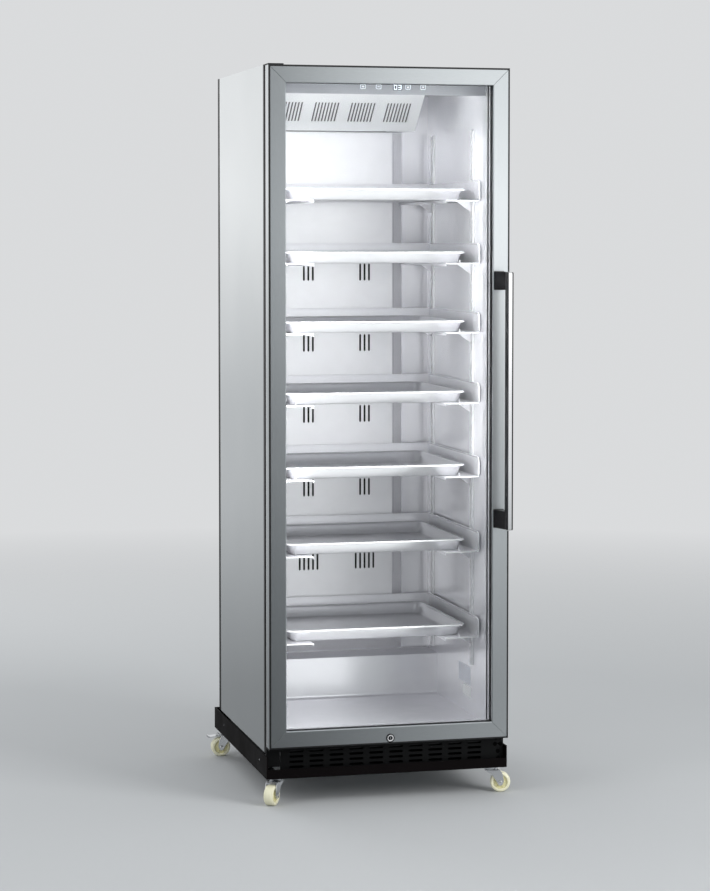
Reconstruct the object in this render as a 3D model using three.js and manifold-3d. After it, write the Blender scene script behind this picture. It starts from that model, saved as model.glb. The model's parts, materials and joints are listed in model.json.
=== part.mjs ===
// Reach-in refrigerator: a glass-door cabinet on a castered base frame, with seven pan racks inside.
// Millimetres, +Z up, +Y towards the back, +X to the right of someone facing the door.
// The pieces are laid out from the door's front face (Y = 0), and the whole is then moved back so that
// the origin is at the middle of the footprint, on the floor.
import * as THREE from "three";
import { mergeVertices } from "three/addons/utils/BufferGeometryUtils.js";
import Module from "manifold-3d";

const wasm = await Module();
wasm.setup();

// ---- Driving dimensions ----
const GAP = 0.3; // between pieces that touch
const SHEET = 1.5; // outer steel sheet
const LINER = 1.2; // liner and rack sheet

const HALF_WIDTH = 300;
const CABINET_BOTTOM = 126;
const CABINET_TOP = 1788;
const PANEL_FRONT = 65;
const PANEL_BACK = 614;
const CABINET_BACK = 638;
const RETURN_FLANGE = 14; // folded edge of a side panel

const DOOR_BOTTOM = 143.5;
const DOOR_TOP = 1784.5;
const DOOR_DEPTH = 38;
const DOOR_MEMBER = 42.3; // width of a door frame member
const DOOR_SKIN = 2;
const GLASS_DEPTH = 20;
const PANE = 4;
const GLASS_BITE = 7; // how far the glass reaches into the frame
const GASKET_INSET = 12;
const GASKET_WIDTH = 18;
const GASKET_DEPTH = 11.4;
const BREAKER_FRONT = 50.3; // face that the gasket seals against

const ROOM_HALF = 258; // half the width inside
const ROOM_FLOOR = 170;
const ROOM_TOP = 1748;
const ROOM_BACK = 590;
const STEP_FRONT = 490; // step over the machine space
const STEP_TOP = 276;
const MACHINE_FRONT = 513;
const MACHINE_TOP = 246;

const HINGE = { x: -288, y: 19, pin: 4, bore: 4.5, engage: 14 };
const HANDLE = { left: 273, right: 286, bottom: 665, top: 1291, back: -50, front: -78, foot: 44 };
const LOCK = { z: 158, barrel: 9, rim: 10.5 };

const BASE = { half: 303, front: 20, back: 690, bottom: 67, top: 121, lip: 90, web: 3 };
const GRILLE = { left: -265, right: 299.4, front: 40, depth: 10, bottom: 76, top: 142.6 };

const CASTER = { x: 272, front: 60, back: 640, trail: 25, radius: 25, half: 12, axle: 4 };

const COVER = { half: 205, topY: 430, topZ: 1742, lowY: 530, lowZ: 1653 };
const DUCT = { half: 151, wallHalf: 186, front: 555, bottom: 311, top: 1650 };
const STANDARD = { frontY: 168, backY: 530, width: 20, depth: 5, top: 1640 };

const RACK = { half: 252, front: 90, back: 548, ledge: 85, height: 50, corner: 16 };
const RACK_LEVELS = [380, 594, 781, 964, 1139, 1310, 1465]; // ledge tops, bottom to top
const PAN = { halfX: 228.5, halfY: 205, midY: 330, depth: 29, rim: 6, slope: 9, corner: 24 };

const BASE_MIDDLE_Y = (BASE.back + HANDLE.front) / 2;

// ---- Materials ----
function finish(color, roughness, metalness, opacity = 1) {
  return new THREE.MeshStandardMaterial({
    color,
    roughness,
    metalness,
    opacity,
    transparent: opacity < 1,
  });
}

const stainless = finish(0xb4b8ba, 0.35, 1);
const linerSteel = finish(0xdadadc, 0.3, 1);
const blackPaint = finish(0x141416, 0.5, 0.2);
const blackPlastic = finish(0x101011, 0.6, 0);
const whiteSheet = finish(0xeceeee, 0.45, 0);
const greyPlastic = finish(0xa9abb0, 0.5, 0);
const aluminium = finish(0xc9cacc, 0.35, 1);
const zinc = finish(0xbfc3c6, 0.3, 1);
const ivory = finish(0xe6e3b8, 0.4, 0);
const rubber = finish(0x0d0d0e, 0.8, 0);
const foam = finish(0xe2d7a8, 0.9, 0);
const glass = finish(0xdfe9e8, 0.05, 0, 0.25);

// ---- Geometry helpers ----
// A closed three.js geometry as a solid that can be cut and joined.
function solidFrom(geometry) {
  const bare = new THREE.BufferGeometry();
  bare.setAttribute("position", geometry.getAttribute("position"));
  if (geometry.index) bare.setIndex(geometry.index);
  const merged = mergeVertices(bare, 1e-4);
  return new wasm.Manifold(
    new wasm.Mesh({
      numProp: 3,
      vertProperties: merged.getAttribute("position").array,
      triVerts: new Uint32Array(merged.index.array),
    }),
  );
}

function geometryFrom(solid) {
  const mesh = solid.getMesh();
  const geometry = new THREE.BufferGeometry();
  geometry.setAttribute("position", new THREE.BufferAttribute(mesh.vertProperties, mesh.numProp));
  geometry.setIndex(new THREE.BufferAttribute(mesh.triVerts, 1));
  const faceted = geometry.toNonIndexed();
  faceted.computeVertexNormals();
  return faceted;
}

function join(...solids) {
  return solids.flat().reduce((sum, next) => sum.add(next));
}

function cut(body, ...tools) {
  return tools.flat().reduce((rest, tool) => rest.subtract(tool), body);
}

// A box between two corners.
function box(x0, x1, y0, y1, z0, z1) {
  const geometry = new THREE.BoxGeometry(x1 - x0, y1 - y0, z1 - z0);
  geometry.translate((x0 + x1) / 2, (y0 + y1) / 2, (z0 + z1) / 2);
  return solidFrom(geometry);
}

// Maps a shape's own x, y and depth to the part's axes: along "x" the shape is (y, z), along "y" it is
// (z, x), and along "z" it is (x, y).
const ALONG = {
  x: new THREE.Matrix4().set(0, 0, 1, 0, 1, 0, 0, 0, 0, 1, 0, 0, 0, 0, 0, 1),
  y: new THREE.Matrix4().set(0, 1, 0, 0, 0, 0, 1, 0, 1, 0, 0, 0, 0, 0, 0, 1),
  z: new THREE.Matrix4(),
};

function extrude(shape, axis, from, to, curveSegments = 2) {
  const geometry = new THREE.ExtrudeGeometry(shape, {
    depth: to - from,
    bevelEnabled: false,
    curveSegments,
  });
  geometry.translate(0, 0, from);
  geometry.applyMatrix4(ALONG[axis]);
  return solidFrom(geometry);
}

function outline(points) {
  return new THREE.Shape(points.map(([u, v]) => new THREE.Vector2(u, v)));
}

// A straight-sided body from its outline in the plane across the axis.
function prism(points, axis, from, to) {
  return extrude(outline(points), axis, from, to);
}

// A slot with round ends, its length along the shape's own y.
function slot(u, v, length, width) {
  const shape = new THREE.Shape();
  const reach = (length - width) / 2;
  shape.absarc(u, v + reach, width / 2, 0, Math.PI, false);
  shape.absarc(u, v - reach, width / 2, Math.PI, 2 * Math.PI, false);
  return shape;
}

// A rod along an axis; (u, v) is its centre in the plane across the axis, as for extrude.
function rod(axis, radius, from, to, u, v, sides = 16) {
  const shape = new THREE.Shape();
  for (let i = 0; i < sides; i++) {
    const angle = (2 * Math.PI * (i + 0.5)) / sides;
    const point = [u + radius * Math.cos(angle), v + radius * Math.sin(angle)];
    if (i === 0) shape.moveTo(...point);
    else shape.lineTo(...point);
  }
  return extrude(shape, axis, from, to);
}

// A rectangular ring, seen from the front: the outer box with a window cut through it.
function ring(outer, window, y0, y1) {
  const body = box(outer.x0, outer.x1, y0, y1, outer.z0, outer.z1);
  return cut(body, box(window.x0, window.x1, y0 - 1, y1 + 1, window.z0, window.z1));
}

function inset(rect, by) {
  return { x0: rect.x0 + by, x1: rect.x1 - by, z0: rect.z0 + by, z1: rect.z1 - by };
}

// A closed skin through a row of loops with equal point counts, capped at both ends. Each loop runs
// anticlockwise as seen from the side that the row goes towards.
function loft(loops) {
  const count = loops[0].length;
  const geometry = new THREE.BufferGeometry().setFromPoints(loops.flat());
  const faces = [];
  for (let row = 0; row < loops.length - 1; row++) {
    for (let i = 0; i < count; i++) {
      const a = row * count + i;
      const b = row * count + ((i + 1) % count);
      faces.push(a, b, b + count, a, b + count, a + count);
    }
  }
  const last = (loops.length - 1) * count;
  for (let i = 1; i < count - 1; i++) {
    faces.push(0, i + 1, i);
    faces.push(last, last + i, last + i + 1);
  }
  geometry.setIndex(faces);
  return solidFrom(geometry);
}

function roundedLoop(halfX, halfY, z, radius, steps = 3) {
  const loop = [];
  const corners = [
    [1, 1],
    [-1, 1],
    [-1, -1],
    [1, -1],
  ];
  corners.forEach(([sx, sy], quarter) => {
    for (let i = 0; i <= steps; i++) {
      const angle = (quarter + i / steps) * (Math.PI / 2);
      const x = sx * (halfX - radius) + radius * Math.cos(angle);
      const y = sy * (halfY - radius) + radius * Math.sin(angle);
      loop.push(new THREE.Vector3(x, y, z));
    }
  });
  return loop;
}

const refrigerator = new THREE.Group();
refrigerator.position.y = -BASE_MIDDLE_Y;

function place(name, solid, material, parent = refrigerator, position = [0, 0, 0]) {
  const mesh = new THREE.Mesh(geometryFrom(solid), material);
  mesh.name = name;
  mesh.position.set(...position);
  parent.add(mesh);
  return mesh;
}

// ---- Cabinet ----
// A side skin with its front and back edges folded inwards; side is -1 on the left and +1 on the right.
function sidePanel(side) {
  const outer = side * HALF_WIDTH;
  const inner = side * (HALF_WIDTH - SHEET);
  const fold = side * (HALF_WIDTH - RETURN_FLANGE);
  const section = [
    [outer, PANEL_FRONT],
    [fold, PANEL_FRONT],
    [fold, PANEL_FRONT + SHEET],
    [inner, PANEL_FRONT + SHEET],
    [inner, PANEL_BACK - SHEET],
    [fold, PANEL_BACK - SHEET],
    [fold, PANEL_BACK],
    [outer, PANEL_BACK],
  ];
  return prism(section, "z", CABINET_BOTTOM, CABINET_TOP);
}

function topPanel() {
  const half = HALF_WIDTH - SHEET - GAP;
  const front = PANEL_FRONT + SHEET + GAP;
  const back = PANEL_BACK - SHEET - GAP;
  const skirt = CABINET_TOP - 16;
  return cut(
    box(-half, half, front, back, skirt, CABINET_TOP),
    box(-half + SHEET, half - SHEET, front + SHEET, back - SHEET, skirt - 1, CABINET_TOP - SHEET),
  );
}

// A folded pan that closes the back, open at the bottom and louvred over the machine space, with a hole
// for the supply cord.
function rearPanel() {
  const half = HALF_WIDTH;
  const face = CABINET_BACK - SHEET;
  const louvre = { length: 84, width: 6, pitch: 15, count: 9, z: 190 };
  const slots = [-1, 1].flatMap((side) =>
    Array.from({ length: louvre.count }, (_, i) =>
      extrude(
        slot(side * 90 + side * louvre.pitch * i, louvre.z, louvre.length, louvre.width),
        "z",
        0,
        10,
        1,
      ),
    ),
  );
  const upright = slots.map((s) => s.rotate([90, 0, 0]).translate([0, CABINET_BACK + 5, 0]));
  return cut(
    box(-half, half, PANEL_BACK + GAP, CABINET_BACK, CABINET_BOTTOM, CABINET_TOP),
    box(
      -half + SHEET,
      half - SHEET,
      PANEL_BACK,
      face,
      CABINET_BOTTOM - 1,
      CABINET_TOP - SHEET,
    ),
    upright,
    rod("y", 7, face - 1, CABINET_BACK + 1, 150, 262, 12),
  );
}

// The bottom sheet, stepped up over the machine space, with two skids that stand on the base frame.
function bottomPanel() {
  const half = HALF_WIDTH - SHEET - GAP;
  const front = PANEL_FRONT + SHEET + GAP;
  const back = PANEL_BACK - SHEET - GAP;
  const section = [
    [front, CABINET_BOTTOM],
    [MACHINE_FRONT, CABINET_BOTTOM],
    [MACHINE_FRONT, MACHINE_TOP],
    [back, MACHINE_TOP],
    [back, MACHINE_TOP + SHEET],
    [MACHINE_FRONT - SHEET, MACHINE_TOP + SHEET],
    [MACHINE_FRONT - SHEET, CABINET_BOTTOM + SHEET],
    [front, CABINET_BOTTOM + SHEET],
  ];
  const skids = [-1, 1].map((side) => {
    const edges = [side * 278, side * 296].sort((a, b) => a - b);
    return box(...edges, 80, 500, BASE.top + GAP, CABINET_BOTTOM + 0.5);
  });
  return join(prism(section, "x", -half, half), skids);
}

// The liner's inside, as an outline from front to back and floor to ceiling.
function roomOutline(grow, front) {
  return [
    [front, ROOM_FLOOR - grow],
    [STEP_FRONT + grow, ROOM_FLOOR - grow],
    [STEP_FRONT + grow, STEP_TOP - grow],
    [ROOM_BACK + grow, STEP_TOP - grow],
    [ROOM_BACK + grow, ROOM_TOP + grow],
    [front, ROOM_TOP + grow],
  ];
}

function innerLiner() {
  const edge = 14;
  const shell = prism(roomOutline(LINER, PANEL_FRONT), "x", -ROOM_HALF - LINER, ROOM_HALF + LINER);
  const flange = box(
    -ROOM_HALF - edge,
    ROOM_HALF + edge,
    PANEL_FRONT,
    PANEL_FRONT + LINER,
    ROOM_FLOOR - edge,
    ROOM_TOP + edge,
  );
  return cut(
    join(shell, flange),
    prism(roomOutline(0, PANEL_FRONT - 1), "x", -ROOM_HALF, ROOM_HALF),
  );
}

function foamInsulation() {
  const clear = 3.6; // behind the folded edges of the skins
  const half = HALF_WIDTH - clear;
  const front = PANEL_FRONT + clear;
  const block = box(
    -half,
    half,
    front,
    PANEL_BACK - clear,
    CABINET_BOTTOM + SHEET + GAP,
    CABINET_TOP - SHEET - GAP,
  );
  const backHalf = HALF_WIDTH - RETURN_FLANGE - GAP;
  const backing = box(
    -backHalf,
    backHalf,
    PANEL_BACK - 2 * clear,
    CABINET_BACK - SHEET - GAP,
    MACHINE_TOP + SHEET + GAP,
    CABINET_TOP - 16 - GAP,
  );
  const room = prism(
    roomOutline(LINER + GAP, front - 1),
    "x",
    -ROOM_HALF - LINER - GAP,
    ROOM_HALF + LINER + GAP,
  );
  const machine = box(
    -HALF_WIDTH,
    HALF_WIDTH,
    MACHINE_FRONT - SHEET - GAP,
    CABINET_BACK,
    CABINET_BOTTOM,
    MACHINE_TOP + SHEET + GAP,
  );
  return cut(join(block, backing), room, machine);
}

// The black frame round the opening, notched at the upper left for the hinge plate.
function breakerFrame() {
  const outer = { x0: -HALF_WIDTH, x1: HALF_WIDTH, z0: CABINET_BOTTOM, z1: CABINET_TOP };
  const window = { x0: -ROOM_HALF, x1: ROOM_HALF, z0: ROOM_FLOOR, z1: ROOM_TOP };
  const notch = box(-301, -261.4, 40, 70, DOOR_TOP, CABINET_TOP + 1);
  return cut(ring(outer, window, BREAKER_FRONT, PANEL_FRONT - GAP), notch);
}

place("side_panel_left", sidePanel(-1), stainless);
place("side_panel_right", sidePanel(1), stainless);
place("top_panel", topPanel(), stainless);
place("rear_panel", rearPanel(), blackPaint);
place("bottom_panel", bottomPanel(), zinc);
place("inner_liner", innerLiner(), linerSteel);
place("foam_insulation", foamInsulation(), foam);
place("front_breaker_frame", breakerFrame(), blackPlastic);

// ---- Control strip and light ----
const STRIP = { front: 67, bottom: 1720.5, top: ROOM_TOP - GAP, half: ROOM_HALF - 0.5 };
const KEY = { xs: [-52, -13, 61, 99], z: 1739, half: 7, halfHeight: 6, front: 66.4, back: 69.8 };

function controlPanel() {
  const section = [
    [STRIP.front, STRIP.bottom],
    [STRIP.front + 4, STRIP.bottom],
    [STRIP.front + 28, STRIP.top - 7],
    [STRIP.front + 28, STRIP.top],
    [STRIP.front, STRIP.top],
  ];
  const pockets = KEY.xs.map((x) =>
    box(
      x - KEY.half - GAP,
      x + KEY.half + GAP,
      STRIP.front - 1,
      KEY.back + 1.2,
      KEY.z - KEY.halfHeight - GAP,
      KEY.z + KEY.halfHeight + GAP,
    ),
  );
  return cut(prism(section, "x", -STRIP.half, STRIP.half), pockets);
}

// A key cap with its front edges chamfered.
function keyCap() {
  const half = KEY.half;
  const chamfer = 0.4;
  const section = [
    [-half, KEY.back],
    [-half, KEY.front + chamfer],
    [-half + chamfer, KEY.front],
    [half - chamfer, KEY.front],
    [half, KEY.front + chamfer],
    [half, KEY.back],
  ];
  return prism(section, "z", -KEY.halfHeight, KEY.halfHeight);
}

// The interior light: a shallow channel body with a bevelled lens side.
function ledLight() {
  const section = [
    [104, ROOM_TOP - GAP],
    [104, ROOM_TOP - 4],
    [107, ROOM_TOP - 8],
    [119, ROOM_TOP - 8],
    [122, ROOM_TOP - 4],
    [122, ROOM_TOP - GAP],
  ];
  return prism(section, "x", -200, 200);
}

place("control_panel", controlPanel(), greyPlastic);
KEY.xs.forEach((x, i) =>
  place(`control_key_${i + 1}`, keyCap(), greyPlastic, refrigerator, [x, 0, KEY.z]),
);
place("led_light", ledLight(), whiteSheet);

// ---- Cooling ----
// The sloped cover at the top rear: a slotted sheet with cheeks, a top lip and a bottom lip.
function evaporatorCover() {
  const { half, topY, topZ, lowY, lowZ } = COVER;
  const back = ROOM_BACK - 0.5;
  const ceiling = ROOM_TOP - GAP;
  const section = [
    [topY, ceiling],
    [topY, topZ],
    [lowY, lowZ],
    [back, lowZ],
    [back, ceiling],
  ];
  const hollow = [
    [topY + 2, ceiling + 1],
    [topY + 2, topZ + 0.6],
    [lowY + 0.8, lowZ + SHEET],
    [back + 1, lowZ + SHEET],
    [back + 1, ceiling + 1],
  ];
  const group = { pitch: 96, count: 4 };
  const vent = { pitch: 8.5, count: 8, width: 4.2, length: 72 };
  const tilt = Math.atan2(topZ - lowZ, topY - lowY);
  const vents = [];
  for (let g = 0; g < group.count; g++) {
    for (let i = 0; i < vent.count; i++) {
      const x = (g - (group.count - 1) / 2) * group.pitch + (i - (vent.count - 1) / 2) * vent.pitch;
      vents.push(
        extrude(slot(x, 0, vent.length, vent.width), "z", -8, 8, 1)
          .rotate([THREE.MathUtils.radToDeg(tilt), 0, 0])
          .translate([0, (topY + lowY) / 2, (topZ + lowZ) / 2]),
      );
    }
  }
  const ductMouth = box(-DUCT.half + 8, DUCT.half - 8, DUCT.front + 4, back + 1, lowZ - 1, lowZ + 5);
  return cut(
    prism(section, "x", -half, half),
    prism(hollow, "x", -half + SHEET, half - SHEET),
    vents,
    ductMouth,
  );
}

// A block of fins on two tubes, with a fan motor and its shaft on a bracket under it.
// The tubes run along x and the fan side is -z.
function finnedCoil(length, depth, height, fins) {
  const half = length / 2;
  const fin = 1.6;
  const sheets = Array.from({ length: fins }, (_, i) => {
    const x = -half + fin / 2 + (i * (length - fin)) / (fins - 1);
    return box(x - fin / 2, x + fin / 2, -depth / 2, depth / 2, -height / 2, height / 2);
  });
  const tubes = [-1, 1].map((side) =>
    rod("x", 4.5, -half - 6, half + 6, (side * depth) / 4, 0, 8),
  );
  const bracket = box(-30, 30, -10, 10, -height / 2 - 4, -height / 2 + 2);
  const motor = rod("z", 13, -height / 2 - 12, -height / 2 - 3, 0, 0, 16);
  const shaft = rod("z", 2, -height / 2 - 22, -height / 2 - 11, 0, 0, 8);
  return join(sheets, tubes, bracket, motor, shaft);
}

// An axial fan round the z axis, bored for its shaft; its back face is at z = 0.
function axialFan(tip, blades) {
  const hubRadius = 12;
  const depth = 10;
  const hub = rod("z", hubRadius, -depth, 0, 0, 0, 16);
  const wings = Array.from({ length: blades }, (_, i) =>
    box(hubRadius - 2, tip, -7, 7, -0.8, 0.8)
      .rotate([28, 0, 0])
      .translate([0, 0, -depth / 2])
      .rotate([0, 0, (360 * i) / blades]),
  );
  return cut(join(hub, wings), rod("z", 2.4, -depth - 1, 1, 0, 0, 8));
}

// The air duct on the back wall: a bevelled tray of sheet with columns of upright slots, open at the top.
function airDuct() {
  const shellLoop = (half, bottom, top, y) => [
    new THREE.Vector3(-half, y, bottom),
    new THREE.Vector3(-half, y, top),
    new THREE.Vector3(half, y, top),
    new THREE.Vector3(half, y, bottom),
  ];
  const wall = ROOM_BACK - 0.5;
  const bevel = DUCT.wallHalf - DUCT.half;
  const low = DUCT.bottom - bevel + 0.5;
  const outer = loft([
    shellLoop(DUCT.half, DUCT.bottom, DUCT.top, DUCT.front),
    shellLoop(DUCT.wallHalf, low, DUCT.top, wall),
  ]);
  const inner = loft([
    shellLoop(DUCT.half - 1, DUCT.bottom + 1, DUCT.top + 9, DUCT.front + SHEET),
    shellLoop(DUCT.wallHalf - 1, low + 1, DUCT.top + 9, wall + 1),
  ]);
  const columnX = 76;
  const pitch = 12;
  const rows = [
    [1283, 3],
    [1097, 3],
    [910, 3],
    [716, 3],
    [521, 5],
  ];
  const slots = [];
  for (const [z, count] of rows) {
    for (const side of [-1, 1]) {
      for (let i = 0; i < count; i++) {
        const x = side * columnX + (i - (count - 1) / 2) * pitch;
        slots.push(
          extrude(slot(x, 0, 46, 5), "z", -4, 4, 1)
            .rotate([90, 0, 0])
            .translate([0, DUCT.front, z]),
        );
      }
    }
  }
  return cut(outer, inner, slots);
}

const EVAPORATOR = { length: 320, depth: 84, height: 26, fins: 7, x: 0, y: 545, z: 1731 };
const CONDENSER = { length: 156, depth: 100, height: 76, fins: 7, x: -206, y: 575, z: 158 };
const FAN_SET_BACK = 12.4; // fan's back face below the coil

place("evaporator_cover", evaporatorCover(), whiteSheet);
place(
  "evaporator_coil",
  finnedCoil(EVAPORATOR.length, EVAPORATOR.depth, EVAPORATOR.height, EVAPORATOR.fins),
  aluminium,
  refrigerator,
  [EVAPORATOR.x, EVAPORATOR.y, EVAPORATOR.z],
);
place("evaporator_fan", axialFan(34, 5), blackPlastic, refrigerator, [
  EVAPORATOR.x,
  EVAPORATOR.y,
  EVAPORATOR.z - EVAPORATOR.height / 2 - FAN_SET_BACK,
]);
place("air_duct", airDuct(), linerSteel);

// The condenser is the same kind of coil stood on end, so its fan blows along +X over the compressor.
const condenserUnit = new THREE.Group();
condenserUnit.position.set(CONDENSER.x, CONDENSER.y, CONDENSER.z);
condenserUnit.rotation.y = -Math.PI / 2;
refrigerator.add(condenserUnit);
place(
  "condenser",
  finnedCoil(CONDENSER.length, CONDENSER.depth, CONDENSER.height, CONDENSER.fins),
  zinc,
  condenserUnit,
);
place("condenser_fan", axialFan(46, 5), blackPlastic, condenserUnit, [
  0,
  0,
  -CONDENSER.height / 2 - FAN_SET_BACK,
]);

// A hermetic compressor: a domed can turned about its upright axis, on a foot plate.
function compressor() {
  const can = new THREE.LatheGeometry(
    [
      [0, 6],
      [44, 6],
      [54, 20],
      [56, 60],
      [56, 84],
      [53, 108],
      [42, 132],
      [22, 146],
      [0, 150],
    ].map(([r, z]) => new THREE.Vector2(r, z)),
    16,
  );
  can.rotateX(Math.PI / 2);
  const plate = box(-84, 84, -50, 50, 0, 4);
  const stems = [-1, 1].map((side) => rod("z", 12, 3, 14, side * 36, 0, 10));
  return join(solidFrom(can), plate, stems);
}

place("compressor", compressor(), blackPaint, refrigerator, [120, 575, BASE.bottom + 3 + GAP]);

// ---- Shelf standards, racks and pans ----
const STANDARD_BOTTOM = { front: 300, back: 290 };

// A channel with its open side to the wall; side is -1 on the left wall and +1 on the right wall.
function shelfStandard(side, length) {
  const wall = side * (ROOM_HALF - GAP);
  const face = side * (ROOM_HALF - GAP - STANDARD.depth);
  const under = side * (ROOM_HALF - GAP - STANDARD.depth + LINER);
  const half = STANDARD.width / 2;
  const section = [
    [wall, -half],
    [face, -half],
    [face, half],
    [wall, half],
    [wall, half - LINER],
    [under, half - LINER],
    [under, -half + LINER],
    [wall, -half + LINER],
  ];
  return prism(section, "z", 0, length);
}

for (const [label, side] of [
  ["left", -1],
  ["right", 1],
]) {
  for (const [end, y] of [
    ["front", STANDARD.frontY],
    ["back", STANDARD.backY],
  ]) {
    const bottom = STANDARD_BOTTOM[end];
    const solid = shelfStandard(side, STANDARD.top - bottom);
    place(`shelf_standard_${end}_${label}`, solid, linerSteel, refrigerator, [0, y, bottom]);
  }
}

// A bent-sheet rack: an upstand and a ledge on each side, joined by a back flange. Clips under the ledge
// hook into the standards, and a tab near the front of each ledge stops the pan. z = 0 is the ledge top.
function panRack() {
  const { half, front, back, ledge, height, corner } = RACK;
  const upstandShape = new THREE.Shape();
  upstandShape.moveTo(back, -LINER);
  upstandShape.lineTo(back, height);
  upstandShape.lineTo(front + corner, height);
  upstandShape.absarc(front + corner, height - corner, corner, Math.PI / 2, Math.PI, false);
  upstandShape.lineTo(front, 6);
  upstandShape.lineTo(front + 7, -LINER);
  const sides = [-1, 1].flatMap((side) => {
    const span = (a, b) => [side * a, side * b].sort((p, q) => p - q);
    const upstand = extrude(upstandShape, "x", ...span(half - LINER, half), 2);
    const shelf = box(...span(half - ledge, half - LINER / 2), front + 9, back, -LINER, 0);
    const hem = box(...span(half - ledge, half - ledge + LINER), front + 9, back, -7, 0);
    const tab = box(...span(half - 62, half - 34), front + 31, front + 31 + LINER, -LINER / 2, 8);
    const clip = [
      [-LINER / 2, side * (half - LINER / 2)],
      [-26, side * (half - LINER / 2)],
      [-LINER / 2, side * (half - 38)],
    ];
    const clips = [STANDARD.frontY, STANDARD.backY].map((y) => prism(clip, "y", y - 1, y + 1));
    return [upstand, shelf, hem, tab, ...clips];
  });
  const reach = half - LINER / 2;
  const flange = box(-reach, reach, back - 1 - LINER, back - 1, -LINER / 2, height - 1);
  return join(sides, flange);
}

// A shallow sheet pan with sloped walls and a flat rim; z = 0 is its underside.
function sheetPan() {
  const { halfX, halfY, depth, rim, slope, corner } = PAN;
  const skin = 1;
  const wallX = halfX - rim;
  const wallY = halfY - rim;
  return loft([
    roundedLoop(wallX - slope, wallY - slope, 0, corner - slope),
    roundedLoop(wallX, wallY, depth - 4, corner - rim / 2),
    roundedLoop(halfX, halfY, depth - 4, corner),
    roundedLoop(halfX, halfY, depth, corner),
    roundedLoop(wallX - skin, wallY - skin, depth, corner - rim / 2),
    roundedLoop(wallX - slope - skin, wallY - slope - skin, skin, corner - slope),
  ]);
}

RACK_LEVELS.forEach((level, i) => {
  const rack = new THREE.Group();
  rack.position.z = level;
  refrigerator.add(rack);
  place(`pan_rack_${i + 1}`, panRack(), linerSteel, rack);
  place(`sheet_pan_${i + 1}`, sheetPan(), aluminium, rack, [0, PAN.midY, GAP]);
});

// ---- Base frame, grille and hinge brackets ----
function baseFrame() {
  const { half, front, back, bottom, top, lip, web } = BASE;
  const flange = 41;
  const rails = [-1, 1].flatMap((side) => {
    const span = (a, b) => [side * a, side * b].sort((p, q) => p - q);
    const screws = [110, 560].map((y) => rod("x", 2.5, ...span(half - web - 1, half + 1), y, 98, 8));
    return [
      cut(box(...span(half - web, half), front, back, bottom, top), screws),
      box(...span(half - flange, half), front, back, bottom, bottom + web),
      box(...span(half - 28, half), PANEL_FRONT + 5, 505, top - web, top),
      box(...span(half - 68, half), 25, 95, bottom, bottom + web),
      box(...span(half - 68, half), 605, 675, bottom, bottom + web),
    ];
  });
  return join(
    rails,
    box(-half, half, front, front + web, bottom, lip),
    box(-half, half, front, front + flange, bottom, bottom + web),
    box(-half, half, back - web, back, bottom, top),
    box(-half, half, MACHINE_FRONT - 8, back, bottom, bottom + web),
  );
}

// The slotted front grille, with a top flange back to the cabinet and four round holes at the right.
function frontGrille() {
  const { left, right, front, depth, bottom, top } = GRILLE;
  const face = outline([
    [bottom, left],
    [bottom, right],
    [top, right],
    [top, left],
  ]);
  const slotRow = { pitchX: 50, pitchZ: 12.7, columns: 10, rows: 4, top: 128.8, length: 36.7, width: 6 };
  for (let row = 0; row < slotRow.rows; row++) {
    for (let column = 0; column < slotRow.columns; column++) {
      const x = (column - (slotRow.columns - 1) / 2) * slotRow.pitchX;
      const z = slotRow.top - row * slotRow.pitchZ;
      face.holes.push(slot(z, x, slotRow.length, slotRow.width));
    }
  }
  const dots = [
    [280, 134],
    [292, 134],
    [286, 122],
    [286, 108],
  ].map(([x, z]) => rod("y", 2.6, front - 1, front + 4, z, x, 8));
  const sheet = cut(extrude(face, "y", front, front + 2, 1), dots);
  const flanges = [
    box(left, right, front, front + depth, top - SHEET, top),
    box(right - SHEET, right, front, front + depth, bottom, top),
  ];
  return join(sheet, flanges);
}

function hingeBracketTop() {
  const plate = box(-299.6, -262, 6, 64, DOOR_TOP + GAP, DOOR_TOP + 3);
  const pin = rod("z", HINGE.pin, DOOR_TOP - HINGE.engage, DOOR_TOP + 1, HINGE.x, HINGE.y);
  return join(plate, pin);
}

function hingeBracketBottom() {
  const shelf = box(-299.6, -266, 6, BREAKER_FRONT - GAP, DOOR_BOTTOM - 4.3, DOOR_BOTTOM - GAP);
  const leg = box(-299.6, -266, GRILLE.front, BREAKER_FRONT - GAP, 93, DOOR_BOTTOM - 3);
  const pin = rod("z", HINGE.pin, DOOR_BOTTOM - 2, DOOR_BOTTOM + HINGE.engage, HINGE.x, HINGE.y);
  return join(shelf, leg, pin);
}

place("base_frame", baseFrame(), blackPaint);
place("front_grille", frontGrille(), blackPaint);
place("hinge_bracket_top", hingeBracketTop(), blackPaint);
place("hinge_bracket_bottom", hingeBracketBottom(), blackPaint);

// ---- Door ----
const DOOR_RECT = { x0: -HALF_WIDTH, x1: HALF_WIDTH, z0: DOOR_BOTTOM, z1: DOOR_TOP };
const GLASS_RECT = inset(DOOR_RECT, DOOR_MEMBER - GLASS_BITE);
const GLASS_FRONT = 8;

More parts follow.
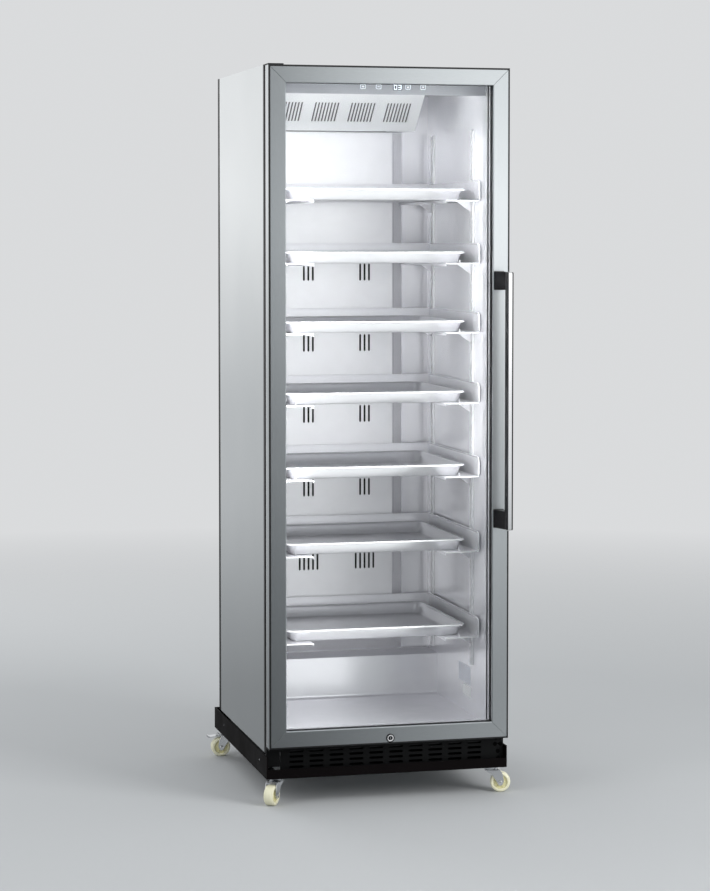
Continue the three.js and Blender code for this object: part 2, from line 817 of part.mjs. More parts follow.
// Four hollow members round the glass, with a groove that holds its edge, bored for the pins and the lock.
function doorFrame() {
  const window = inset(DOOR_RECT, DOOR_MEMBER);
  const groove = inset(GLASS_RECT, -GAP);
  const hollow = inset(DOOR_RECT, DOOR_SKIN);
  const chamber = inset(DOOR_RECT, DOOR_MEMBER - 10);
  const channel = ring(hollow, chamber, DOOR_SKIN, DOOR_DEPTH - DOOR_SKIN);
  const glassSeat = box(
    groove.x0,
    groove.x1,
    GLASS_FRONT - GAP,
    GLASS_FRONT + GLASS_DEPTH + GAP,
    groove.z0,
    groove.z1,
  );
  return cut(
    ring(DOOR_RECT, window, 0, DOOR_DEPTH),
    channel,
    glassSeat,
    rod("z", HINGE.bore, DOOR_BOTTOM - 1, DOOR_BOTTOM + HINGE.engage + 1, HINGE.x, HINGE.y),
    rod("z", HINGE.bore, DOOR_TOP - HINGE.engage - 1, DOOR_TOP + 1, HINGE.x, HINGE.y),
    rod("y", LOCK.barrel + 0.5, -1, DOOR_DEPTH - DOOR_SKIN - 1, LOCK.z, 0, 24),
  );
}

// Two panes on a spacer, with the small breather hole that a refilled unit has.
function doorGlass() {
  const spacer = inset(GLASS_RECT, 10);
  const gas = box(
    spacer.x0,
    spacer.x1,
    GLASS_FRONT + PANE,
    GLASS_FRONT + GLASS_DEPTH - PANE,
    spacer.z0,
    spacer.z1,
  );
  const breather = box(
    -1.5,
    1.5,
    GLASS_FRONT + GLASS_DEPTH / 2 - 1.5,
    GLASS_FRONT + GLASS_DEPTH / 2 + 1.5,
    GLASS_RECT.z0 - 1,
    spacer.z0 + 1,
  );
  const unit = box(
    GLASS_RECT.x0,
    GLASS_RECT.x1,
    GLASS_FRONT,
    GLASS_FRONT + GLASS_DEPTH,
    GLASS_RECT.z0,
    GLASS_RECT.z1,
  );
  return cut(unit, gas, breather);
}

function doorGasket() {
  const outer = inset(DOOR_RECT, GASKET_INSET);
  return ring(outer, inset(outer, GASKET_WIDTH), DOOR_DEPTH + GAP, DOOR_DEPTH + GAP + GASKET_DEPTH);
}

// The grip is an upright bar with round ends; each bracket tapers from the door face out to the bar.
function handleBar() {
  const { left, right, bottom, top, back, front } = HANDLE;
  const radius = 5;
  const shape = new THREE.Shape();
  shape.moveTo(back, bottom);
  shape.lineTo(back, top);
  shape.absarc(front + radius, top - radius, radius, Math.PI / 2, Math.PI, false);
  shape.absarc(front + radius, bottom + radius, radius, Math.PI, 1.5 * Math.PI, false);
  return extrude(shape, "x", left, right, 3);
}

function handleBracket(z0) {
  const { left, right, back, foot } = HANDLE;
  const section = [
    [left - 12, -GAP],
    [right - 1, -GAP],
    [right, back + GAP],
    [left, back + GAP],
  ];
  return prism(section, "z", z0, z0 + foot);
}

// The lock's barrel turns in the frame; its rim stands proud and has a keyway.
function lockCylinder() {
  const barrel = rod("y", LOCK.barrel, -1, DOOR_DEPTH - 8, 0, 0, 24);
  const rim = rod("y", LOCK.rim, -2.4, -GAP, 0, 0, 24);
  return cut(join(barrel, rim), box(-1, 1, -3, 1.5, -4.5, 4.5));
}

place("door_frame", doorFrame(), stainless);
place("door_glass", doorGlass(), glass);
place("door_gasket", doorGasket(), rubber);
place("handle_bar", handleBar(), stainless);
place("handle_bracket_bottom", handleBracket(HANDLE.bottom), blackPaint);
place("handle_bracket_top", handleBracket(HANDLE.top - HANDLE.foot), blackPaint);
place("lock_cylinder", lockCylinder(), zinc, refrigerator, [0, 0, LOCK.z]);

// ---- Casters ----
const FORK = { inner: 13, outer: 15.5, crownLow: 53.5, crownTop: 57, race: 17 };
const PEDAL = { y: 29, z: 56.5, pin: 1.5, bore: 1.9, hub: 3.4, reach: 60 };

// A swivel fork with its race, crown, legs and axle. It stands round the swivel axis, and the wheel
// trails along +y. A braked fork also has ears and a pin for its pedal.
function casterFork(braked) {
  const { inner, outer, crownLow, crownTop, race } = FORK;
  const { trail, radius, axle } = CASTER;
  const leg = [
    [-12, crownTop],
    [24, crownTop],
    [trail + 8, radius + 2],
    [trail, radius - 9],
    [trail - 8, radius],
  ];
  const legs = [
    prism(leg, "x", -outer, -inner),
    prism(leg, "x", inner, outer),
    rod("x", axle, -outer - 1, outer + 1, trail, radius, 12),
    rod("x", 6.5, -outer - 3.5, -outer + 0.5, trail, radius, 6),
    rod("x", 6.5, outer - 0.5, outer + 3.5, trail, radius, 6),
  ];
  const head = [
    rod("z", race, crownTop - 1, BASE.bottom - GAP, 0, 0, 20),
    box(-outer, outer, -14, 24, crownLow, crownTop),
  ];
  const ears = braked
    ? [
        box(-outer, -inner, 18, 33, 50, 60),
        box(inner, outer, 18, 33, 50, 60),
        rod("x", PEDAL.pin, -inner - 1, inner + 1, PEDAL.y, PEDAL.z, 8),
      ]
    : [];
  return join(legs, head, ears);
}

// A moulded wheel: a crowned tread with a recess on each side and a bore for the axle.
function casterWheel() {
  const { radius, half, axle } = CASTER;
  const sides = 20;
  const rolling = radius / Math.cos(Math.PI / sides); // flats at the full radius
  const bore = axle + 0.5;
  const profile = [
    [bore, -half + 4],
    [17, -half + 4],
    [18, -half],
    [rolling - 3, -half],
    [rolling, -half + 4],
    [rolling, half - 4],
    [rolling - 3, half],
    [18, half],
    [17, half - 4],
    [bore, half - 4],
    [bore, -half + 4],
  ].map(([r, x]) => new THREE.Vector2(r, x));
  const turned = new THREE.LatheGeometry(profile, sides, Math.PI / sides);
  turned.rotateZ(-Math.PI / 2);
  return solidFrom(turned);
}

// A brake pedal: a hub on the fork's pin and a tread plate with an upturned end.
function brakePedal() {
  const { y, z, hub, bore, reach } = PEDAL;
  const half = FORK.inner - 0.5;
  const tread = [
    [y - 1, z - 2.6],
    [reach, z - 5.4],
    [reach, z - 1],
    [reach - 3, z - 1],
    [reach - 4, z - 3],
    [y, z - 0.4],
  ];
  return cut(
    join(rod("x", hub, -half, half, y, z, 10), prism(tread, "x", -half, half)),
    rod("x", bore, -half - 1, half + 1, y, z, 8),
  );
}

// Each caster is turned about its swivel axis by its own angle, as it last rolled.
const CASTERS = [
  { name: "front_left", x: -CASTER.x, y: CASTER.front, turn: 144, braked: false },
  { name: "front_right", x: CASTER.x, y: CASTER.front, turn: -104, braked: false },
  { name: "rear_left", x: -CASTER.x, y: CASTER.back, turn: 90, braked: true },
  { name: "rear_right", x: CASTER.x, y: CASTER.back, turn: -90, braked: true },
];

for (const caster of CASTERS) {
  const swivel = new THREE.Group();
  swivel.position.set(caster.x, caster.y, 0);
  swivel.rotation.z = THREE.MathUtils.degToRad(caster.turn);
  refrigerator.add(swivel);
  place(`caster_fork_${caster.name}`, casterFork(caster.braked), zinc, swivel);
  place(`caster_wheel_${caster.name}`, casterWheel(), ivory, swivel, [
    0,
    CASTER.trail,
    CASTER.radius,
  ]);
  if (caster.braked) place(`brake_pedal_${caster.name}`, brakePedal(), zinc, swivel);
}

export default refrigerator;
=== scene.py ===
import math
import bmesh
import bpy
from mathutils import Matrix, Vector
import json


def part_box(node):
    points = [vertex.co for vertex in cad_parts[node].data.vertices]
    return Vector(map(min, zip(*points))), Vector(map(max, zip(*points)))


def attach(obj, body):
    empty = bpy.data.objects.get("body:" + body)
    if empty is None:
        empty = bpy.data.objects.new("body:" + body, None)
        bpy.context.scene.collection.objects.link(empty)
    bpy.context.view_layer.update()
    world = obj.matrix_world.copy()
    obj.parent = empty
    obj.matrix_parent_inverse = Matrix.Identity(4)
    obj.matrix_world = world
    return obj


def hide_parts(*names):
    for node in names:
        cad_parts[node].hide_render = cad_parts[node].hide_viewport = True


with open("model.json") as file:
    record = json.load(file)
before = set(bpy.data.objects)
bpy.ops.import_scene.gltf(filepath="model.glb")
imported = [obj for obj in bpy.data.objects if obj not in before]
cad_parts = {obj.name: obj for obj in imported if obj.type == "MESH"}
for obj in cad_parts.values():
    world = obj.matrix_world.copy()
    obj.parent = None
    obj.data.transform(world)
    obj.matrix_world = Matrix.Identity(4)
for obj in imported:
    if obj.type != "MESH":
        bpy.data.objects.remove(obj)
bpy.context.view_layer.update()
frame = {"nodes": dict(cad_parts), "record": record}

# All shapes below are written in millimetres in the part's own frame: X right, Y back, Z up.
MM = 0.001
NODES = frame["nodes"]
RECORD = frame["record"]
SLOT_OF = {part["node"]: part["material_slot"] for part in RECORD["subparts"]}
BODY_OF = {node: body for body, nodes in RECORD["behaviour"]["bodies"].items() for node in nodes}
SIDES = (("left", -1), ("right", 1))


def edges(node):
    """x0, x1, y0, y1, z0, z1 of a CAD node at rest, in millimetres."""
    low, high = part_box(node)
    return tuple(value / MM for value in (low.x, high.x, low.y, high.y, low.z, high.z))


# ---------------------------------------------------------------- materials
class Shader:
    """A Principled material with short calls for the nodes that feed it."""

    def __init__(self, name, color=(0.8, 0.8, 0.8), roughness=0.5, metallic=0.0, **sockets):
        self.material = bpy.data.materials.new(name)
        self.material.use_nodes = True
        self.tree = self.material.node_tree
        self.bsdf = self.tree.nodes["Principled BSDF"]
        self.bsdf.inputs["Base Color"].default_value = (*color, 1)
        self.bsdf.inputs["Roughness"].default_value = roughness
        self.bsdf.inputs["Metallic"].default_value = metallic
        for socket, value in sockets.items():
            self.bsdf.inputs[socket.replace("_", " ")].default_value = value

    def node(self, kind, **values):
        made = self.tree.nodes.new(kind)
        for key, value in values.items():
            if key in made.inputs:
                made.inputs[key].default_value = value
            else:
                setattr(made, key, value)
        return made

    def link(self, source, target):
        self.tree.links.new(source, target)

    def coordinates(self, scale=(1, 1, 1)):
        """Object coordinates, stretched per axis."""
        place = self.node("ShaderNodeTexCoord")
        mapping = self.node("ShaderNodeMapping")
        mapping.inputs["Scale"].default_value = scale
        self.link(place.outputs["Object"], mapping.inputs["Vector"])
        return mapping.outputs["Vector"]

    def noise(self, vector, scale, detail=3.0, roughness=0.55):
        made = self.node("ShaderNodeTexNoise", Scale=scale, Detail=detail, Roughness=roughness)
        self.link(vector, made.inputs["Vector"])
        return made.outputs["Fac"]

    def span(self, value, low, high, from_low=0.3, from_high=0.7):
        """value remapped to run from low to high."""
        ends = {"From Min": from_low, "From Max": from_high, "To Min": low, "To Max": high}
        made = self.node("ShaderNodeMapRange", **ends)
        self.link(value, made.inputs["Value"])
        return made.outputs["Result"]

    def arithmetic(self, operation, first, second):
        """first and second joined by a Math node; either can be a plain number."""
        made = self.node("ShaderNodeMath", operation=operation)
        for socket, value in zip(made.inputs, (first, second)):
            if isinstance(value, float):
                socket.default_value = value
            else:
                self.link(value, socket)
        return made.outputs[0]

    def multiply_color(self, first, second):
        made = self.node("ShaderNodeMix", data_type="RGBA", blend_type="MULTIPLY", Factor=1.0)
        color_a, color_b, color_out = 6, 7, 2  # the RGBA sockets of a Mix node
        self.link(first, made.inputs[color_a])
        self.link(second, made.inputs[color_b])
        return made.outputs[color_out]

    def ramp(self, value, *stops):
        made = self.node("ShaderNodeValToRGB")
        elements = made.color_ramp.elements
        while len(elements) < len(stops):
            elements.new(0.5)
        for element, (position, color) in zip(elements, stops):
            element.position = position
            element.color = (*color, 1)
        self.link(value, made.inputs["Fac"])
        return made.outputs["Color"]

    def color(self, socket):
        self.link(socket, self.bsdf.inputs["Base Color"])

    def roughness(self, socket):
        self.link(socket, self.bsdf.inputs["Roughness"])

    def bump(self, height, strength, distance):
        made = self.node("ShaderNodeBump", Strength=strength, Distance=distance)
        self.link(height, made.inputs["Height"])
        self.link(made.outputs["Normal"], self.bsdf.inputs["Normal"])

    def surface(self, socket):
        """Puts another shader's output on the surface."""
        self.link(socket, self.tree.nodes["Material Output"].inputs["Surface"])

    def mixed(self, factor, first, second):
        """Shades with a mix of two shader outputs."""
        mix = self.node("ShaderNodeMixShader")
        for socket, source in zip(mix.inputs, (factor, first, second)):
            self.link(source, socket)
        self.surface(mix.outputs["Shader"])


def tone(color, factor):
    return tuple(min(1.0, channel * factor) for channel in color)


def brushed_steel(name, color, roughness=0.3, grain="z", contrast=0.05, marks=0.08, anisotropy=0.4):
    """Stainless sheet with fine grain along one axis, soft cloudiness and faint handling marks."""
    shader = Shader(name, color, roughness, 1.0, Anisotropic=anisotropy)
    along, across = 70, 1300
    stretch = {
        "x": (along, across, across),
        "y": (across, along, across),
        "z": (across, across, along),
    }[grain]
    lines = shader.noise(shader.coordinates(stretch), 1.0, 2.0, 0.7)
    clouds = shader.noise(shader.coordinates(), 2.6, 3.0, 0.5)
    smudges = shader.noise(shader.coordinates((1, 1, 0.7)), 5, 4.0, 0.5)
    grain_color = shader.ramp(lines, (0.25, tone(color, 1 - contrast)), (0.75, tone(color, 1 + contrast)))
    cloud_color = shader.ramp(clouds, (0.3, (0.975, 0.98, 0.982)), (0.7, (1, 1, 1)))
    shader.color(shader.multiply_color(grain_color, cloud_color))
    fine = shader.span(lines, -0.03, 0.03)
    broad = shader.span(smudges, roughness - marks * 0.2, roughness + marks * 0.3)
    shader.roughness(shader.arithmetic("ADD", fine, broad))
    shader.bump(lines, 0.04, 0.00008)
    return shader.material


def sheet_metal(name, color, roughness=0.2, wave=0.02, wave_scale=3.0, metallic=1.0):
    """Bright rolled, pressed or plated metal: small duller patches and a slow waviness."""
    shader = Shader(name, color, roughness, metallic)
    patches = shader.noise(shader.coordinates(), 34, 4.0, 0.6)
    waves = shader.noise(shader.coordinates(), wave_scale, 1.0, 0.4)
    shader.color(shader.ramp(patches, (0.3, tone(color, 0.965)), (0.7, tone(color, 1.02))))
    shader.roughness(shader.span(patches, roughness * 0.88, roughness * 1.2))
    shader.bump(waves, wave, 0.02)
    return shader.material


def painted(name, color, roughness=0.42, texture=260, strength=0.12, wear=0.25, gloss=0.5):
    """Powder-coated steel: a fine orange-peel skin and slightly paler, duller patches."""
    shader = Shader(name, color, roughness, Specular_IOR_Level=gloss)
    peel = shader.noise(shader.coordinates(), texture, 2.0, 0.5)
    patches = shader.noise(shader.coordinates(), 9, 5.0, 0.6)
    shader.color(shader.ramp(patches, (0.35, color), (0.8, tone(color, 1 + wear))))
    shader.roughness(shader.span(patches, roughness - 0.05, roughness + 0.12))
    shader.bump(peel, strength, 0.0004)
    return shader.material


def moulded(name, color, roughness=0.5, texture=420, strength=0.1, **sockets):
    """Moulded plastic with a fine spark-eroded texture."""
    shader = Shader(name, color, roughness, **sockets)
    skin = shader.noise(shader.coordinates(), texture, 3.0, 0.6)
    patches = shader.noise(shader.coordinates(), 12, 4.0, 0.6)
    shader.color(shader.ramp(patches, (0.3, tone(color, 0.95)), (0.7, tone(color, 1.05))))
    shader.roughness(shader.span(skin, roughness - 0.06, roughness + 0.08))
    shader.bump(skin, strength, 0.0002)
    return shader.material


def clear_glass(name):
    """A thin pane: mostly clear, with a Fresnel reflection off each face."""
    shader = Shader(name, (0.9, 0.93, 0.95), 0.03)
    clear = shader.node("ShaderNodeBsdfTransparent", Color=(0.985, 0.99, 0.99, 1))
    fresnel = shader.node("ShaderNodeFresnel", IOR=1.25)
    side = shader.node("ShaderNodeNewGeometry")
    outer = shader.arithmetic("SUBTRACT", 1.0, side.outputs["Backfacing"])
    shine = shader.arithmetic("MULTIPLY", fresnel.outputs["Fac"], outer)
    haze = shader.noise(shader.coordinates((1, 1, 0.5)), 5, 4.0, 0.6)
    shader.roughness(shader.span(haze, 0.02, 0.05))
    shader.mixed(shine, clear.outputs["BSDF"], shader.bsdf.outputs["BSDF"])
    return shader.material


def glowing(name, color, strength, roughness=0.4):
    """A lit lens or display segment: a slightly uneven glow behind frosted plastic."""
    shader = Shader(name, color, roughness)
    shader.bsdf.inputs["Emission Color"].default_value = (*color, 1)
    shader.bsdf.inputs["Emission Strength"].default_value = strength
    cells = shader.noise(shader.coordinates(), 60, 2.0, 0.5)
    shader.color(shader.ramp(cells, (0.3, tone(color, 0.93)), (0.7, color)))
    return shader.material


MATERIALS = {
    "side_steel": brushed_steel("side_steel", (0.76, 0.785, 0.795), 0.33, "z"),
    "top_steel": brushed_steel("top_steel", (0.72, 0.745, 0.755), 0.35, "x"),
    "door_steel_x": brushed_steel("door_steel_x", (0.66, 0.695, 0.71), 0.33, "x"),
    "door_steel_z": brushed_steel("door_steel_z", (0.66, 0.695, 0.71), 0.33, "z"),
    "liner_steel": sheet_metal("liner_steel", (0.90, 0.895, 0.925), 0.20, 0.03, 2.2, 0.55),
    "duct_steel": sheet_metal("duct_steel", (0.93, 0.925, 0.945), 0.33, 0.03, 2.6, 0.45),
    "rack_steel": sheet_metal("rack_steel", (0.86, 0.855, 0.885), 0.33, 0.02, 5.0, 0.60),
    "standard_steel": sheet_metal("standard_steel", (0.93, 0.925, 0.945), 0.34, 0.01, 5.0, 0.5),
    # Brighter than the steel it stands on: painted highlight, used on rims, hems, flanks and the lock ring so
    # they read as lit edges.
    "polished": sheet_metal("polished", (0.97, 0.97, 0.98), 0.22, 0.004, 6.0, 0.6),
    "rear_sheet": sheet_metal("rear_sheet", (0.50, 0.515, 0.525), 0.42, 0.03, 3.0, 0.85),
    "black_paint": painted("black_paint", (0.005, 0.0052, 0.0055), 0.42, 260, 0.12, 0.25, 0.16),
    # Near-black with almost no shine: painted shade for cavities and holes that light does not reach.
    "painted_shade_black": moulded("painted_shade_black", (0.002, 0.002, 0.002), 0.9, 200, 0.2, Specular_IOR_Level=0.05),
    "dim_grey": moulded("dim_grey", (0.17, 0.17, 0.175), 0.9, 200, 0.2, Specular_IOR_Level=0.1),
    "handle_paint": painted("handle_paint", (0.004, 0.004, 0.005), 0.35, 300, 0.05, 0.2, 0.25),
    "rail_paint": painted("rail_paint", (0.0045, 0.0036, 0.0038), 0.45, 220, 0.15, 0.25, 0.03),
    "galvanised": painted("galvanised", (0.45, 0.47, 0.48), 0.4),
    "foam": moulded("foam", (0.80, 0.72, 0.46), 0.9, 180, 0.5),
    "black_plastic": moulded("black_plastic", (0.012, 0.012, 0.013), 0.45),
    "strip_grey": moulded("strip_grey", (0.58, 0.585, 0.62), 0.4),
    "key_grey": moulded("key_grey", (0.60, 0.605, 0.64), 0.35),
    "white_sheet": painted("white_sheet", (0.84, 0.85, 0.85), 0.4, 320, 0.04, 0.04),
    "label": moulded("label", (0.66, 0.68, 0.74), 0.35, 300, 0.02),
    "fins": brushed_steel("fins", (0.62, 0.63, 0.65), 0.4, "y"),
    "copper": sheet_metal("copper", (0.72, 0.36, 0.22), 0.34),
    "chrome": sheet_metal("chrome", (0.92, 0.93, 0.94), 0.10),
    "zinc": sheet_metal("zinc", (0.84, 0.86, 0.88), 0.18),
    "aluminium": sheet_metal("aluminium", (0.82, 0.82, 0.84), 0.34, 0.006, 6.0, 0.92),
    "nylon": moulded("nylon", (0.83, 0.81, 0.60), 0.36, 300, 0.04),
    "nylon_hub": moulded("nylon_hub", (0.78, 0.74, 0.44), 0.4, 300, 0.06),
    "rubber": moulded("rubber", (0.012, 0.012, 0.013), 0.6, 240, 0.15),
    "lens": glowing("lens", (0.95, 0.97, 1.0), 3.0),
    "digit": glowing("digit", (0.90, 0.95, 1.0), 1.0),
    "glass": clear_glass("glass"),
}


# ---------------------------------------------------------------- shapes: (vertices, faces) in millimetres
def turned_to(axis, a, b, along):
    """The point with a and b across an axis and the given place along it."""
    return {"x": (along, a, b), "y": (a, along, b), "z": (a, b, along)}[axis]


def prism(outline, axis, low, high):
    """An outline pushed along an axis: (y, z) points for x, (x, z) for y and (x, y) for z."""
    count = len(outline)
    verts = [turned_to(axis, a, b, end) for end in (low, high) for a, b in outline]
    faces = [tuple(range(count)), tuple(range(2 * count - 1, count - 1, -1))]
    for i in range(count):
        j = (i + 1) % count
        faces.append((i, j, j + count, i + count))
    return verts, faces


def block(x0, x1, y0, y1, z0, z1):
    return prism([(x0, y0), (x1, y0), (x1, y1), (x0, y1)], "z", z0, z1)


def loft(loops, closed=False, caps=(True, True)):
    """Skins a list of equal loops of 3-D points; closed joins the last loop to the first."""
    count = len(loops[0])
    verts = [point for loop in loops for point in loop]
    faces = []
    for k in range(len(loops) if closed else len(loops) - 1):
        low, high = k * count, (k + 1) % len(loops) * count
        for i in range(count):
            j = (i + 1) % count
            faces.append((low + i, low + j, high + j, high + i))
    if not closed and caps[0]:
        faces.append(tuple(range(count)))
    if not closed and caps[1]:
        faces.append(tuple(range((len(loops) - 1) * count, len(loops) * count)))
    return verts, faces


def mitred(rect, section):
    """A section of (inset, y) points swept round an upright rectangle (x0, x1, z0, z1)."""
    x0, x1, z0, z1 = rect
    loops = []
    for right, top in ((0, 0), (1, 0), (1, 1), (0, 1)):
        loops.append([(x1 - n if right else x0 + n, y, z1 - n if top else z0 + n) for n, y in section])
    return loft(loops, closed=True)


def members(rect, section, seam=0.25):
    """The same sweep as four separate members with mitred ends, by side name."""
    x0, x1, z0, z1 = rect
    made = {}
    for name, at, sign in (("bottom", z0, 1), ("top", z1, -1)):
        left = [(x0 + n + seam, y, at + sign * n) for n, y in section]
        right = [(x1 - n - seam, y, at + sign * n) for n, y in section]
        made[name] = loft([left, right])
    for name, at, sign in (("left", x0, 1), ("right", x1, -1)):
        low = [(at + sign * n, y, z0 + n + seam) for n, y in section]
        high = [(at + sign * n, y, z1 - n - seam) for n, y in section]
        made[name] = loft([low, high])
    return made


def lathe(profile, center, axis="z", segments=32, closed=False):
    """(radius, height) points turned about an axis through center. A radius of 0 is a point."""
    cx, cy, cz = center
    rings, verts, faces = [], [], []
    for radius, height in profile:
        steps = segments if radius > 1e-6 else 1
        rings.append((len(verts), steps))
        for i in range(steps):
            turn = 2 * math.pi * i / segments
            x, y, z = turned_to(axis, radius * math.cos(turn), radius * math.sin(turn), height)
            verts.append((cx + x, cy + y, cz + z))
    pairs = list(zip(rings, rings[1:])) + ([(rings[-1], rings[0])] if closed else [])
    for (low, low_steps), (high, high_steps) in pairs:
        for i in range(segments):
            j = (i + 1) % segments
            corners = [low + i % low_steps, low + j % low_steps, high + j % high_steps, high + i % high_steps]
            face = tuple(dict.fromkeys(corners))
            if len(face) > 2:
                faces.append(face)
    return verts, faces


def tube(path, radius, sides=10):
    """A round tube along a list of points."""
    points = [Vector(p) for p in path]
    loops, normal = [], None
    for i, point in enumerate(points):
        ahead = (points[min(i + 1, len(points) - 1)] - points[max(i - 1, 0)]).normalized()
        if normal is None:
            normal = ahead.orthogonal().normalized()
        normal = (normal - ahead * normal.dot(ahead)).normalized()
        side = ahead.cross(normal)
        turns = [2 * math.pi * k / sides for k in range(sides)]
        loops.append([tuple(point + radius * (normal * math.cos(t) + side * math.sin(t))) for t in turns])
    return loft(loops)


def arc(cx, cy, radius, start, stop, steps=5):
    """Points on an arc, with angles in degrees."""
    turns = [math.radians(start + (stop - start) * i / steps) for i in range(steps + 1)]
    return [(cx + radius * math.cos(t), cy + radius * math.sin(t)) for t in turns]


def rounded(x0, x1, y0, y1, radius, steps=5):
    """A rectangle with round corners, anticlockwise."""
    return (
        arc(x1 - radius, y0 + radius, radius, -90, 0, steps)
        + arc(x1 - radius, y1 - radius, radius, 0, 90, steps)
        + arc(x0 + radius, y1 - radius, radius, 90, 180, steps)
        + arc(x0 + radius, y0 + radius, radius, 180, 270, steps)
    )


def joined(*shapes):
    verts, faces = [], []
    for more_verts, more_faces in shapes:
        start = len(verts)
        verts += more_verts
        faces += [tuple(start + i for i in face) for face in more_faces]
    return verts, faces


def moved(shape, x=0, y=0, z=0):
    return [(a + x, b + y, c + z) for a, b, c in shape[0]], shape[1]


def mirrored(shape):
    return [(-a, b, c) for a, b, c in shape[0]], shape[1]


def ring_outline(outer, inner, axis, low, high):
    """A flat ring between two equal loops of 2-D points."""
    loops = []
    for loop, at in ((outer, low), (outer, high), (inner, high), (inner, low)):
        loops.append([turned_to(axis, a, b, at) for a, b in loop])
    return loft(loops, closed=True)


def screw_head(center, axis="y", sign=-1, radius=3.6):
    """A domed cross-recess screw head; sign is the way it faces along its axis."""
    segments, steps = 24, (0.0, 0.22, 0.42, 0.6, 0.8, 0.93, 1.0)
    verts, faces = [], []
    for step in steps:
        for i in range(segments):
            turn = 2 * math.pi * i / segments
            a, b = step * radius * math.cos(turn), step * radius * math.sin(turn)
            height = 0.42 * radius * math.sqrt(max(0.0, 1 - step * step * 0.98))
            if min(abs(a), abs(b)) < 0.16 * radius and step < 0.65:
                height -= 0.24 * radius
            spot = turned_to(axis, a, b, sign * height)
            verts.append(tuple(center[k] + spot[k] for k in range(3)))
    for k in range(len(steps) - 1):
        for i in range(segments):
            j = (i + 1) % segments
            faces.append((k * segments + i, k * segments + j, (k + 1) * segments + j, (k + 1) * segments + i))
    return verts, faces


# ---------------------------------------------------------------- pieces
def finish_piece(obj, body, replaces):
    """Puts a piece on its body and hides the CAD nodes it stands for."""
    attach(obj, body)
    if replaces:
        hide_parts(*replaces)
    return obj


def piece(name, shape, material, body, slot, replaces=(), bevel=0.0, segments=2, angle=35):
    """Makes an object from a shape, with smooth shading, crisp edges and an optional bevel."""
    mesh = bpy.data.meshes.new(name)
    verts, faces = shape
    mesh.from_pydata([(x * MM, y * MM, z * MM) for x, y, z in verts], [], faces)
    work = bmesh.new()
    work.from_mesh(mesh)
    bmesh.ops.remove_doubles(work, verts=work.verts, dist=0.00001)
    bmesh.ops.recalc_face_normals(work, faces=work.faces)
    work.to_mesh(mesh)
    work.free()
    return dressed(name, mesh, material, body, replaces, bevel, segments, angle)


def dressed(name, mesh, material, body, replaces=(), bevel=0.0, segments=2, angle=35):
    """Makes an object from a mesh, with its material, smooth shading and an optional bevel."""
    mesh.polygons.foreach_set("use_smooth", [True] * len(mesh.polygons))
    mesh.materials.clear()
    mesh.materials.append(MATERIALS[material])
    obj = bpy.data.objects.new(name, mesh)
    bpy.context.scene.collection.objects.link(obj)
    if bevel:
        modifier = obj.modifiers.new("edge", "BEVEL")
        modifier.width = bevel * MM
        modifier.segments = segments
        modifier.limit_method = "ANGLE"
        modifier.angle_limit = math.radians(angle)
        modifier.harden_normals = True
    else:
        mesh.set_sharp_from_angle(angle=math.radians(angle))
    return finish_piece(obj, body, replaces)


def copies(source, names, offsets, body, replaced):
    """The same mesh again at other places."""
    for name, offset, node in zip(names, offsets, replaced):
        obj = source.copy()
        obj.name = name
        obj.location = tuple(value * MM for value in offset)
        bpy.context.scene.collection.objects.link(obj)
        finish_piece(obj, body, (node,) if node else ())


def refined(node, material, bevel=0.6, segments=2, name=None):
    """A CAD node again with its flat faces joined up and its edges softened."""
    mesh = NODES[node].data.copy()
    if mesh.attributes.get("custom_normal"):
        mesh.attributes.remove(mesh.attributes["custom_normal"])
    work = bmesh.new()
    work.from_mesh(mesh)
    bmesh.ops.remove_doubles(work, verts=work.verts, dist=0.00002)
    bmesh.ops.dissolve_limit(
        work, angle_limit=math.radians(1), verts=work.verts, edges=work.edges, delimit=set()
    )
    bmesh.ops.recalc_face_normals(work, faces=work.faces)
    for edge in work.edges:
        edge.smooth = True
    work.to_mesh(mesh)
    work.free()
    label = name or f"{node}_finished"
    return dressed(label, mesh, material, BODY_OF[node], (node,), bevel, segments)


def dress_cad(node, material):
    """Gives a hidden or plain CAD node its material."""
    slots = NODES[node].data.materials
    slots.clear()
    slots.append(MATERIALS[material])


# ---------------------------------------------------------------- door
DOOR_X0, DOOR_X1, DOOR_FRONT, DOOR_BACK, DOOR_Z0, DOOR_Z1 = edges("door_frame")
DOOR_RECT = (DOOR_X0, DOOR_X1, DOOR_Z0, DOOR_Z1)
MEMBER = 42.3  # width of a door frame member
GLASS_X0, GLASS_X1, GLASS_FRONT, GLASS_BACK, GLASS_Z0, GLASS_Z1 = edges("door_glass")
PANE = 4.0


